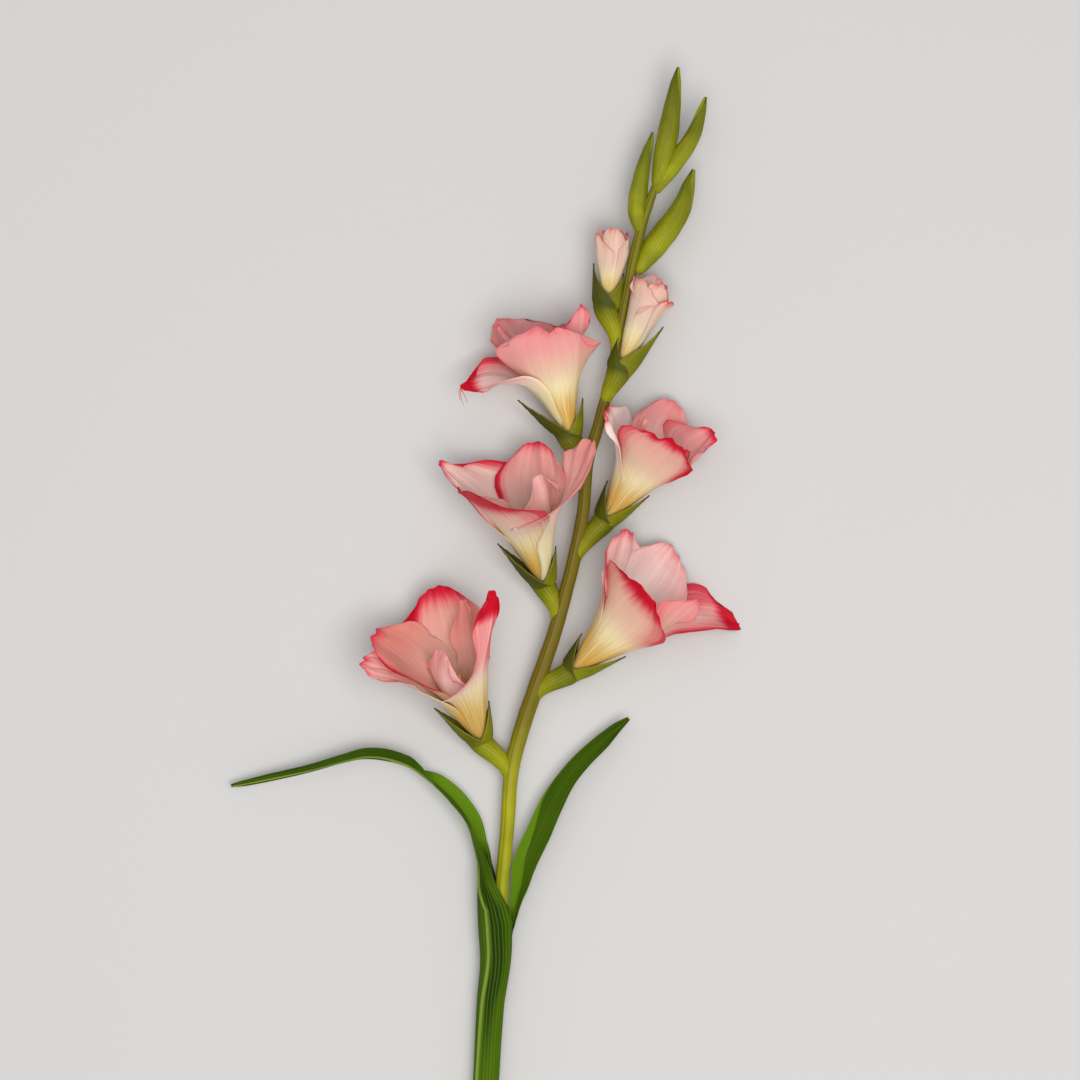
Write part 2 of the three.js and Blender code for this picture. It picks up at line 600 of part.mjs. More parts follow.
// ---- leaves ----
// hand: 1 when the face turns to the right of the midrib's direction, -1 when to the left.
function leaf(stations, hand, rows, keel, crease) {
  const curve = new THREE.CatmullRomCurve3(stations.map(({ at }) => vector(at)), false, 'centripetal');
  const last = stations.length - 1;
  const blend = (key, t) => read(stations.map((station, k) => [k / last, station[key]]), t);
  const grid = [];
  for (let i = 0; i <= rows; i += 1) {
    const t = i / rows;
    const centre = curve.getPoint(t);
    const along = curve.getTangent(t);
    const level = new THREE.Vector3(hand * along.y, -hand * along.x, 0).normalize();
    const turn = blend('turn', t) * DEGREE;
    const face = new THREE.Vector3(0, 0, Math.cos(turn)).addScaledVector(level, Math.sin(turn));
    face.addScaledVector(along, -face.dot(along)).normalize();
    const across = along.clone().cross(face);
    const curl = blend('curl', t);
    const width = blend('w', t);
    const sharp = read(keel, t);
    const slope = Math.min(width / curl, KEEL_SLOPE);
    const row = [];
    for (let j = 0; j <= LEAF_COLUMNS; j += 1) {
      const v = (2 * j) / LEAF_COLUMNS - 1;
      const arc = (v * width) / curl;
      const bent = (v - read(crease, t)) * width * Math.sin(slope);
      const lift = (1 - sharp) * curl * (1 - Math.cos(arc)) + sharp * Math.hypot(bent, KEEL_ROUND);
      const sideways = (1 - sharp) * curl * Math.sin(arc) + sharp * v * width * Math.cos(slope);
      row.push(centre.clone().addScaledVector(face, lift).addScaledVector(across, sideways));
    }
    grid.push(row);
  }
  return sheet(grid, LEAF_THICKNESS);
}

// ---- stamens ----
// Three filaments with anthers, and a longer style, on a small disc deep in the flower.
function stamens(spec) {
  const frame = flowerFrame(spec.base, spec.axis);
  const start = FOOT_LENGTH + GAP;
  const at = (height, around, out) => frame.base.clone()
    .addScaledVector(frame.axis, height)
    .addScaledVector(frame.up, out * Math.cos(around * DEGREE))
    .addScaledVector(frame.right, out * Math.sin(around * DEGREE))
    .toArray();
  const thread = (line, radiusAt) => rod(line, radiusAt, STAMEN_SIDES, STAMEN_STEPS);
  const pieces = [turned(frame, [[start, 2], [start + 1.2, 2]], CUP_SIDES)];
  [-110, 180, 110].forEach((around, k) => {
    const top = 30 + 2 * k;
    const filament = [at(start, around, 1), at(20, around, 3.2), at(top, around, 4.6)];
    const anther = [at(top - 3, around, 4.4), at(top + 3, around, 4.9), at(top + 8, around, 5.3)];
    pieces.push(thread(filament, () => FILAMENT_RADIUS));
    pieces.push(thread(anther, (t) => ANTHER_RADIUS * read(ANTHER, t)));
  });
  pieces.push(thread([at(start, 0, 0.4), at(24, 37, 1), at(44, 90, 1)], () => FILAMENT_RADIUS));
  pieces.push(thread([at(42.5, 90, 1), at(45, 90, 1), at(47.5, 90, 1.1)], () => STIGMA_RADIUS));
  return settled(joined(pieces));
}

// ---- the whole spike ----
const group = new THREE.Group();
group.name = 'gladiolus';

function place(name, solid, colour, roughness) {
  const mesh = solid.getMesh();
  const geometry = new THREE.BufferGeometry();
  geometry.setAttribute('position', new THREE.Float32BufferAttribute(mesh.vertProperties, 3));
  geometry.setIndex(new THREE.BufferAttribute(new Uint32Array(mesh.triVerts), 1));
  geometry.computeVertexNormals();
  const material = new THREE.MeshStandardMaterial({ color: colour, roughness, metalness: 0 });
  const object = new THREE.Mesh(geometry, material);
  object.name = name;
  group.add(object);
}

place('stem', stemRod(0), '#8a8a24', 0.45);
const rightLeaf = leaf(LEAF_RIGHT, -1, RIGHT_LEAF_ROWS, RIGHT_KEEL, RIGHT_CREASE);
place('leaf_right', rightLeaf, '#4f7a14', 0.5);
place('leaf_left', leaf(LEAF_LEFT, 1, LEFT_LEAF_ROWS, LEFT_KEEL, LEFT_CREASE), '#35560d', 0.5);

FLORETS.forEach((spec, k) => {
  place(`floret_${k + 1}`, flower(spec), '#eeb0a6', 0.6);
  place(`stamens_${k + 1}`, stamens(spec), '#e8c36a', 0.6);
  place(`calyx_${k + 1}`, calyx(spec, FUNNEL, FLORET_GIRTH), '#5d7216', 0.5);
});

HALF_BUDS.forEach((spec, k) => {
  place(`half_bud_${k + 1}`, furled(spec), '#f2c3b4', 0.6);
  place(`calyx_${FLORETS.length + k + 1}`, calyx(spec, NARROW_FUNNEL, HALF_BUD_GIRTH), '#6d8a1c', 0.5);
});

// A closed bud, or with something added to its radius the space kept clear round it.
const spindle = ({ spine, r }, extra) => (
  rod(spine, (t) => r * read(SPINDLE, t) + extra, BUD_SIDES, BUD_STEPS)
);
BUDS.forEach((bud, k) => {
  const neighbours = BUDS.slice(k + 1).map((next) => spindle(next, GAP));
  place(`bud_${k + 1}`, body(without(spindle(bud, 0), stemSpace, ...neighbours)), '#7c8416', 0.45);
});

export default group;
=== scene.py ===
import math

import bpy
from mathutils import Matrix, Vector, noise


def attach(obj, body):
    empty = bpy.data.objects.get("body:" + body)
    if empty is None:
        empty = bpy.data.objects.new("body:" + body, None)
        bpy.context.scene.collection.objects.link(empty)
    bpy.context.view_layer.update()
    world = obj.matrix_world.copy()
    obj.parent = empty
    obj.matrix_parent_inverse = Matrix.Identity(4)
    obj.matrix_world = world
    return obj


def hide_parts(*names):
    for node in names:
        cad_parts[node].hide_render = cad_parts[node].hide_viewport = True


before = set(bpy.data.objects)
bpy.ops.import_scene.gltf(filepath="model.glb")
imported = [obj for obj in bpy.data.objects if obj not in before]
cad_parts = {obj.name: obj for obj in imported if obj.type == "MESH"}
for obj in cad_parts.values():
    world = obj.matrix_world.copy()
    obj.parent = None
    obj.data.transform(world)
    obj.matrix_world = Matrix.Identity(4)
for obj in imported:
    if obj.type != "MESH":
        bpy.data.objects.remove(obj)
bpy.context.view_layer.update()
bpy.ops.object.select_all(action="DESELECT")


# ---- Flower stem ----
# A round stalk, yellow-green at the foot and olive further up, thicker where a flower
# leaves it and marked by a fine seam along one side. It is one swept tube.
MM = 0.001

# Points of the stem's centre line from the cut foot to the tip, each with its radius.
STEM = [
    ((-6, -400, 8.35), 4.6), ((-1, -320, 9.0), 4.6), ((2, -258, 9.6), 4.6), ((8, -180, 11.6), 4.6),
    ((12, -128, 13.0), 4.5), ((15, -95, 13.5), 4.5), ((18, -56, 14.0), 4.8), ((23.5, -33, 14.5), 5.2),
    ((33, -4, 16.5), 5.2), ((45, 31, 18.5), 4.7), ((53.5, 61, 20), 4.5), ((60.5, 90, 21), 4.3),
    ((64.5, 113, 22), 4.1), ((67.5, 145, 23), 3.9), ((73.5, 165, 24), 3.8), ((80.5, 191, 25), 3.6),
    ((84.5, 210, 25.5), 3.5), ((88, 230, 26), 3.3), ((93.5, 256, 27), 3.4), ((97, 274, 27.5), 3.9),
    ((102, 295, 28), 3.2), ((108, 314, 28.5), 2.9), ((112, 325, 29), 2.2),
]


def ease(x, low, high):
    """0 below low, 1 above high and smooth between them."""
    t = min(max((x - low) / (high - low), 0), 1)
    return t * t * (3 - 2 * t)


def read(table, x):
    """Linear reading of a table of (position, value)."""
    for (x0, y0), (x1, y1) in zip(table, table[1:]):
        if x <= x1:
            break
    t = min(max((x - x0) / (x1 - x0), 0), 1)
    return y0 + (y1 - y0) * t


def smooth_line(points, steps):
    """Points along a centripetal Catmull-Rom curve through the given ones."""
    points = [Vector(p) for p in points]
    ends = [2 * points[0] - points[1], *points, 2 * points[-1] - points[-2]]
    made = []
    for i in range(steps + 1):
        t = i / steps * (len(points) - 1)
        k = min(int(t), len(points) - 2)
        a, b, c, d = ends[k:k + 4]
        spans = [max((q - p).length, 1e-6) ** 0.5 for p, q in ((a, b), (b, c), (c, d))]
        m = ((b - a) / spans[0] - (c - a) / (spans[0] + spans[1]) + (c - b) / spans[1]) * spans[1]
        n = ((c - b) / spans[1] - (d - b) / (spans[1] + spans[2]) + (d - c) / spans[2]) * spans[1]
        u = t - k
        made.append(
            b * (2 * u**3 - 3 * u**2 + 1) + m * (u**3 - 2 * u**2 + u)
            + c * (3 * u**2 - 2 * u**3) + n * (u**3 - u**2)
        )
    return made


def direction(line, i):
    """Unit direction of a line at its point i."""
    return (line[min(i + 1, len(line) - 1)] - line[max(i - 1, 0)]).normalized()


def squared(vector, along):
    """Unit vector of the part of a vector that is square to a direction."""
    return (vector - along * along.dot(vector)).normalized()


def grid(name, rows, columns, place):
    """A mesh grid with each point moved to place(along, across); both run from 0 to 1."""
    bpy.ops.mesh.primitive_grid_add(x_subdivisions=columns, y_subdivisions=rows, size=2)
    piece = bpy.context.object
    piece.name = piece.data.name = name
    for point in piece.data.vertices:
        x, y, _ = point.co
        point.co = Vector(place((y + 1) / 2, (x + 1) / 2)) * MM
    return piece


def tube(name, line, radius_at, rows, columns):
    """A closed tube along a line, its grid joined underneath; radius_at takes along and around."""
    centres = smooth_line(line, rows)
    underneath = Vector((0, 0, -1))

    def place(s, u):
        i = round(s * rows)
        along = direction(centres, i)
        side = squared(underneath, along)
        other = along.cross(side)
        angle = 2 * math.pi * u
        return centres[i] + (side * math.cos(angle) + other * math.sin(angle)) * radius_at(s, u)

    piece = grid(name, rows, columns, place)
    bpy.ops.object.mode_set(mode="EDIT")
    bpy.ops.mesh.select_all(action="SELECT")
    bpy.ops.mesh.remove_doubles(threshold=1e-6)
    bpy.ops.mesh.select_all(action="DESELECT")
    bpy.ops.mesh.select_mode(type="EDGE")
    bpy.ops.mesh.select_non_manifold()
    bpy.ops.mesh.edge_face_add()
    bpy.ops.mesh.select_all(action="SELECT")
    bpy.ops.mesh.normals_make_consistent(inside=False)
    bpy.ops.object.mode_set(mode="OBJECT")
    return piece


def finish(piece, node, skin):
    """Gives a piece its skin and smooth shading, joins it to the root and hides the node it replaces."""
    piece.data.materials.append(bpy.data.materials[skin])
    bpy.ops.object.select_all(action="DESELECT")
    piece.select_set(True)
    bpy.context.view_layer.objects.active = piece
    bpy.ops.object.shade_smooth()
    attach(piece, "root")
    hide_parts(node)
    piece.select_set(False)


class Wire:
    """A socket of a material's nodes that can stand in sums and products."""

    def __init__(self, tree, socket=None):
        self.tree = tree
        self.socket = socket

    def node(self, kind, settings=None, inputs=None, output=0):
        made = self.tree.nodes.new("ShaderNode" + kind)
        for name, value in (settings or {}).items():
            setattr(made, name, value)
        for name, value in (inputs or {}).items():
            if isinstance(value, Wire):
                self.tree.links.new(value.socket, made.inputs[name])
            else:
                made.inputs[name].default_value = value
        return Wire(self.tree, made.outputs[output])

    def maths(self, operation, *values):
        return self.node("Math", {"operation": operation}, dict(enumerate(values)))

    def __add__(self, other):
        return self.maths("ADD", self, other)

    def __radd__(self, other):
        return self.maths("ADD", other, self)

    def __sub__(self, other):
        return self.maths("SUBTRACT", self, other)

    def __rsub__(self, other):
        return self.maths("SUBTRACT", other, self)

    def __mul__(self, other):
        return self.maths("MULTIPLY", self, other)

    def __rmul__(self, other):
        return self.maths("MULTIPLY", other, self)

    def step(self, low, high):
        """0 below low, 1 above high and smooth between them."""
        settings = {"interpolation_type": "SMOOTHSTEP"}
        return self.node("MapRange", settings, {"Value": self, "From Min": low, "From Max": high})

    def blend(self, low, high):
        """The colour low where this is 0 and high where it is 1."""
        settings = {"data_type": "RGBA", "clamp_factor": True}
        return self.node("Mix", settings, {0: self, 6: tint(low), 7: tint(high)}, output=2)

    def stretched(self, x, y, z):
        """This vector with its parts multiplied."""
        return self.node("VectorMath", {"operation": "MULTIPLY"}, {0: self, 1: (x, y, z)})

    def part(self, axis):
        """The X, Y or Z of this vector."""
        return self.node("SeparateXYZ", None, {0: self}, output=axis)

    def size(self):
        """This value without its sign."""
        return self.maths("ABSOLUTE", self)

    def weight(self, key):
        """The value that the points of a piece hold under a key."""
        return self.node("Attribute", {"attribute_name": key}, output="Fac")

    def fog(self, scale, detail=3, roughness=0.5, distortion=0):
        """Noise from 0 to 1 over this vector."""
        look = {"Scale": scale, "Detail": detail, "Roughness": roughness, "Distortion": distortion}
        return self.node("TexNoise", None, {"Vector": self, **look})


def tint(colour):
    """A screen colour of 0 to 255, as the shader's linear colour with its alpha."""
    if isinstance(colour, Wire):
        return colour
    return (*(((c / 255 + 0.055) / 1.055) ** 2.4 if c > 10 else c / 255 / 12.92 for c in colour), 1)


def new_skin(name):
    """A new material, given as the start of its wires."""
    made = bpy.data.materials.new(name)
    made.use_nodes = True
    return Wire(made.node_tree)


def dress(start, colour, roughness, bump=None, strength=0.3, depth=0.3, **constant):
    """Ends a material: its colour, roughness, bumps of so many mm and constant sockets."""
    shader = start.tree.nodes["Principled BSDF"]
    for socket, value in (("Base Color", colour), ("Roughness", roughness)):
        if isinstance(value, Wire):
            start.tree.links.new(value.socket, shader.inputs[socket])
        else:
            shader.inputs[socket].default_value = value
    if bump is not None:
        look = {"Strength": strength, "Distance": depth * MM, "Height": bump}
        start.tree.links.new(start.node("Bump", None, look).socket, shader.inputs["Normal"])
    for socket, value in constant.items():
        shader.inputs[socket.replace("_", " ")].default_value = value


# Skin: lengthwise streaks on the tube's own UV map, and a colour that follows the height.
# SEAM_AROUND is the seam's place in turns round the stem.
SEAM_AROUND = 0.43
skin = new_skin("stem_skin")
place = skin.node("TexCoord", output="Object")
height = place.part("Y")
wrap = skin.node("TexCoord", output="UV")
streaks = wrap.stretched(26, 1.5, 1).fog(1, detail=4, roughness=0.6)
patches = place.fog(28, detail=3)
seam = (wrap.part("X") - SEAM_AROUND).size().step(0.012, 0.0)
base = height.step(-0.20, -0.06).blend((160, 168, 12), (162, 160, 14))
base = (height + (patches - 0.5) * 0.05).step(-0.09, 0.01).blend(base, (104, 90, 12))
base = (height + (patches - 0.5) * 0.03).step(0.2, 0.32).blend(base, (104, 104, 6))
base = (streaks.step(0.4, 0.75) * 0.35).blend(base, (160, 152, 40))
base = (streaks.step(0.45, 0.2) * 0.35).blend(base, (84, 70, 8))
base = (patches.step(0.5, 0.8) * 0.3).blend(base, (86, 72, 10))
base = (seam * 0.75).blend(base, (60, 48, 8))
dress(
    skin, base, 0.45 + streaks * 0.15, bump=streaks - seam * 0.8, strength=0.5, depth=0.25,
    Specular_IOR_Level=0.2,
)

KNOT_HEIGHT = 0.22
SEAM_DEPTH = 0.25
SEAM_WIDTH = 0.02
stem_radii = [(k / (len(STEM) - 1), r) for k, (_, r) in enumerate(STEM)]


def stem_radius(s, u):
    """Radius of the stem, with slight knots and the groove of its seam."""
    angle = 2 * math.pi * u
    knots = KNOT_HEIGHT * noise.noise(Vector((s * 60, math.cos(angle), math.sin(angle))))
    groove = SEAM_DEPTH * math.exp(-(((u - SEAM_AROUND) / SEAM_WIDTH) ** 2))
    return read(stem_radii, s) + knots - groove


stem = tube("green_stem", [at for at, _ in STEM], stem_radius, rows=360, columns=40)
finish(stem, "stem", "stem_skin")


# ---- Long leaves ----
# Two sword-shaped leaves with parallel veins. Each wraps the stem as a sheath at its foot
# and opens into a channelled blade; the left one arches over and turns its face.

# A station has a point of the midrib, the half width, the curl's radius and the turn.
LEAF_LEFT = [
    ((-14, -400, 8.35), 23, 8, 90), ((-9, -320, 9), 23, 8, 90), ((-6.8, -258, 9.5), 24, 8.4, 90),
    ((-4.4, -206, 10.8), 25.5, 8.9, 90), ((-2.3, -180, 12), 28.5, 10, 90), ((-3.6, -157, 13), 31, 12, 90),
    ((-3.8, -150, 13.2), 29, 12, 90), ((-4, -144, 13.3), 27, 11.6, 90), ((-4, -134, 13.4), 20.5, 10.5, 90),
    ((-3, -117, 13.8), 13, 10, 84), ((-5.5, -103, 14), 10.5, 11, 70), ((-10, -89, 14), 9.5, 12, 55),
    ((-19, -76, 14), 9, 14, 50), ((-31, -65, 14), 8.6, 16, 60), ((-42, -57.5, 13.5), 8.5, 16, 98),
    ((-50, -53, 13), 8.5, 16, 116), ((-64, -48.5, 12.5), 8.5, 18, 120), ((-77, -47.5, 12), 8, 18, 118),
    ((-90, -50, 11), 7.2, 18, 112), ((-113, -56, 9.5), 5.8, 18, 116), ((-139, -61.5, 8), 4.2, 18, 124),
    ((-156, -65, 7), 2.8, 18, 128), ((-164, -66.5, 6.5), 1.2, 18, 130),
]
LEAF_RIGHT = [
    ((0.6, -400, 8.35), 18.6, 6.6, 90), ((5.7, -320, 9), 18.6, 6.6, 90), ((8.6, -258, 9.5), 19, 6.9, 90),
    ((12, -206, 10.8), 20, 7.5, 90), ((16.3, -180, 12), 21, 8.5, 90), ((17.4, -168, 12.6), 9, 8, 88),
    ((19.2, -157, 13), 4, 6, 50), ((19.8, -150, 13), 4.2, 5.2, 14), ((20.6, -144, 13.2), 5.4, 6.4, 10),
    ((22.2, -137.5, 13.3), 6.8, 8.2, 10), ((24, -131, 13.5), 7.8, 10, 8),
    ((26.4, -118, 13.5), 9.4, 15.4, 5), ((36.1, -96.5, 13.5), 9.4, 20, 8),
    ((44.8, -77.5, 13.5), 9.2, 20.4, 10), ((54, -62.5, 13), 7.6, 17, 12),
    ((64.9, -49.5, 12.5), 6.9, 16, 14), ((77.6, -37.5, 12), 6, 14, 16), ((86.8, -28.5, 12), 3.8, 10, 20),
    ((94, -22.5, 12), 1.1, 10, 25),
]
LEAF_THICKNESS = 0.55
LEAF_COLUMNS = 60
RIB_HEIGHT = 0.14
RIPPLE_HEIGHT = 0.35
PLEAT_HEIGHT = 1.3
PLEAT_WIDTH = 0.035


def spots(rows, columns):
    """Where the points of a grid lie: along it from 0 to 1 and across it from -1 to 1."""
    return [(i / rows, 2 * j / columns - 1) for i in range(rows + 1) for j in range(columns + 1)]


def paint(piece, key, values):
    """Stores a value for each point of a piece, which its skin reads by the key."""
    piece.data.attributes.new(key, "FLOAT", "POINT")
    for point, value in zip(piece.data.attributes[key].data, values):
        point.value = value


def thicken(piece, thickness):
    """Gives a sheet its thickness, half on each side."""
    solid = piece.modifiers.new("thickness", "SOLIDIFY")
    solid.thickness = thickness * MM
    solid.offset = 0
    bpy.context.view_layer.objects.active = piece
    bpy.ops.object.modifier_apply(modifier="thickness")


def leaf(name, stations, hand, rows, keel, crease, pleat, lit):
    """A leaf from its stations; hand is 1 or -1 for the side that its turn leads to.

    keel says how sharply it is folded, crease where that fold runs, pleat where a raised
    pleat runs and lit its painted light and shade: painted light above 0, painted shade below.
    """
    last = len(stations) - 1
    centres = smooth_line([at for at, *_ in stations], rows)
    tables = [[(k / last, station[n]) for k, station in enumerate(stations)] for n in (1, 2, 3)]

    def place(s, u):
        i = round(s * rows)
        v = 2 * u - 1
        along = direction(centres, i)
        level = Vector((hand * along.y, -hand * along.x, 0)).normalized()
        width, curl, turn = (read(table, s) for table in tables)
        turn = math.radians(turn)
        face = Vector((0, 0, math.cos(turn))) + level * math.sin(turn)
        face = squared(face, along)
        across = along.cross(face)
        arc = v * width / curl
        ribs = RIB_HEIGHT * math.cos(11 * math.pi * v)
        ripple = RIPPLE_HEIGHT * v * v * noise.noise(Vector((s * 18, v * 0.8, hand)))
        sharp = read(keel, s)
        slope = min(width / curl, 1.1)
        bent = (v - read(crease, s)) * width * math.sin(slope)
        lift = (1 - sharp) * curl * (1 - math.cos(arc)) + sharp * math.hypot(bent, 0.5)
        sideways = (1 - sharp) * curl * math.sin(arc) + sharp * v * width * math.cos(slope)
        bulge = PLEAT_HEIGHT * pleat_at(s, v)
        lift += ribs + ripple - bulge * math.cos(arc)
        return centres[i] + face * lift + across * (sideways + bulge * math.sin(arc))

    def pleat_at(s, v):
        return math.exp(-(((v - read(pleat, s)) / PLEAT_WIDTH) ** 2)) * ease(s, 0, 0.05)

    piece = grid(name, rows, LEAF_COLUMNS, place)
    for key, weight in (("pleat", pleat_at), ("lit", lit)):
        paint(piece, key, [weight(s, v) for s, v in spots(rows, LEAF_COLUMNS)])
    thicken(piece, LEAF_THICKNESS)
    return piece


# Blade: dark green with paler parallel veins, a yellower foot and a satin gloss.
# The wave of the veins, in radians from one edge of a leaf to the other: about 24 veins.
VEIN_WAVES = 150
blade = new_skin("leaf_blade")
place = blade.node("TexCoord", output="Object")
wrap = blade.node("TexCoord", output="UV")
height = place.part("Y")
across = wrap.part("X")
sway = wrap.stretched(4, 3, 1).fog(1, detail=2) * 2.5
veins = blade.maths("COSINE", across * VEIN_WAVES + sway) * 0.5 + 0.5
streaks = wrap.stretched(34, 1.6, 1).fog(1, detail=4, roughness=0.6)
patches = place.fog(22, detail=3)
midrib = (across - 0.5).size().step(0.05, 0.0)
pleat, lit = blade.weight("pleat"), blade.weight("lit")
base = patches.step(0.3, 0.75).blend((30, 56, 0), (52, 82, 2))
base = (streaks.step(0.35, 0.75) * 0.5).blend(base, (92, 120, 8))
# Painted light and shade from the lit weight: paler where light falls, dark green where shade falls.
base = (lit * 0.85).blend(base, (106, 146, 18))
base = (lit.step(0.0, -1.0) * 0.88).blend(base, (20, 46, 0))
base = (veins.step(0.4, 1.0) * 0.4).blend(base, (20, 44, 0))
base = (veins.step(0.35, 0.0) * 0.3).blend(base, (104, 136, 24))
base = (midrib * 0.15).blend(base, (104, 134, 20))
low = (height + (streaks - 0.5) * 0.08).step(-0.1, -0.24)
base = (low * lit.step(-1.2, 0.0) * 0.5).blend(base, (84, 118, 6))
base = (pleat * 0.85).blend(base, (140, 164, 66))
dress(
    blade, base, 0.5 + streaks * 0.2, bump=veins * 0.5 + streaks, strength=0.6, depth=0.25,
    Specular_IOR_Level=0.06,
)

# Tables of (place along the leaf, value), where across the leaf runs from -1 to 1.
LEFT_KEEL = [(0, 0), (0.45, 0), (0.6, 0.5), (1, 0.5)]
LEFT_CREASE = [(0, 0), (1, 0)]
LEFT_PLEAT = [(0, -0.2), (0.1, -0.28), (0.2, -0.4), (0.3, -0.42), (0.42, -0.2), (1, 0)]
# LEFT_LIT is painted light above 0 and painted shade below 0, along the left leaf.
LEFT_LIT = [
    (0, 0.2), (0.08, 0), (0.15, -1.1), (0.36, -1.1), (0.42, -0.1), (0.46, 0.7), (0.6, 1.1), (0.66, 0),
    (0.72, -0.8), (1, -0.6),
]
RIGHT_KEEL = [(0, 0), (0.26, 0), (0.36, 1), (0.8, 1), (1, 0.4)]
RIGHT_CREASE = [(0, 0), (0.6, 0), (0.667, -0.45), (0.722, -0.85), (0.778, -1), (1, -1)]
RIGHT_PLEAT = [(0, -2), (1, -2)]


def left_lit(s, v):
    """Painted shade in the hollow beside the sheath's pleat and along a crease up the blade, painted light
    on the blade's lit face.
    """
    aside = v - read(LEFT_PLEAT, s)
    crease = math.exp(-(((aside - 0.06) / 0.05) ** 2))
    crease *= ease(s, 0.36, 0.44) * ease(s, 0.68, 0.6)
    hollow = 0.2 + 1.1 * math.exp(-(((aside + 0.2) / 0.16) ** 2))
    face = 0.45 + 0.55 * ease(v, -0.5, 0.2)
    return read(LEFT_LIT, s) * (face + (hollow - face) * ease(s, 0.42, 0.36)) - 1.6 * crease


def right_lit(s, v):
    """Painted light on one side of the blade's crease and painted shade on the other; darker towards its
    tip.
    """
    face = 0.2 + 0.75 * ease(read(RIGHT_CREASE, s) - v, -0.03, 0.06)
    return ease(s, 0.38, 0.46) * face - 0.1 - 0.4 * ease(s, 0.7, 0.9)


left_leaf = leaf("arching_leaf", LEAF_LEFT, 1, 300, LEFT_KEEL, LEFT_CREASE, LEFT_PLEAT, left_lit)
finish(left_leaf, "leaf_left", "leaf_blade")
right_leaf = leaf("sword_leaf", LEAF_RIGHT, -1, 240, RIGHT_KEEL, RIGHT_CREASE, RIGHT_PLEAT, right_lit)
finish(right_leaf, "leaf_right", "leaf_blade")


# ---- Open flowers ----
# Five funnel flowers, each of six thin petals in two layers of three. They are cream and
# ochre in the tube and turn pink towards crimson, waved rims.
PETAL_THICKNESS = 0.35
PETAL_ROWS = 80
PETAL_COLUMNS = 54

# Outer petals start LAYER outside the radius of the tube and inner ones LAYER inside it.
TUBE_RADIUS = 2.6
LAYER = 1.5

# In the tube a petal reaches WRAP radians to each side, with one edge LAP further out than
# its middle and the other LAP further in. The tube widens at FUNNEL degrees.
WRAP = 1.2
LAP = 1.0
FUNNEL = 19

# The unevenness of a petal's tip and the length of a folded lobe are in parts of the petal's
# length, the notch's width in parts of its half width. Flares are sought in these degrees.
FRILL = 0.03
LOBE_LENGTH = 0.11
NOTCH_WIDTH = 0.14
FLARE_RANGE = (-60, 170)

# Petals are pressed flat where they come nearer to the table than CUSHION, the inner ones
# INNER_FLOOR above it, and all of them SETTLE a little.
CUSHION = 4
SETTLE = 0.3
INNER_FLOOR = 1.0

# Outlines of petals: tables of (share of the length, share of the width).
PETAL_OUTLINE = [
    (0, 0.13), (0.12, 0.3), (0.25, 0.5), (0.4, 0.72), (0.55, 0.9), (0.7, 1), (0.8, 0.98), (0.9, 0.84),
    (1, 0.6),
]
POINTED_OUTLINE = [
    (0, 0.13), (0.12, 0.3), (0.25, 0.5), (0.4, 0.75), (0.55, 0.95), (0.7, 0.9), (0.85, 0.6), (1, 0.2),
]
FOLDED_OUTLINE = [(0, 0.3), (0.4, 1), (0.52, 0.62), (0.66, 0.45), (0.82, 0.62), (0.94, 0.55), (1, 0.3)]
BLUNT_OUTLINE = [
    (0, 0.13), (0.12, 0.3), (0.25, 0.5), (0.4, 0.7), (0.6, 0.88), (0.8, 1), (0.93, 0.98), (1, 0.75),
]
LOBE_OUTLINE = [(0, 0.13), (0.45, 0.42), (0.62, 0.85), (0.78, 1), (0.9, 0.88), (1, 0.55)]

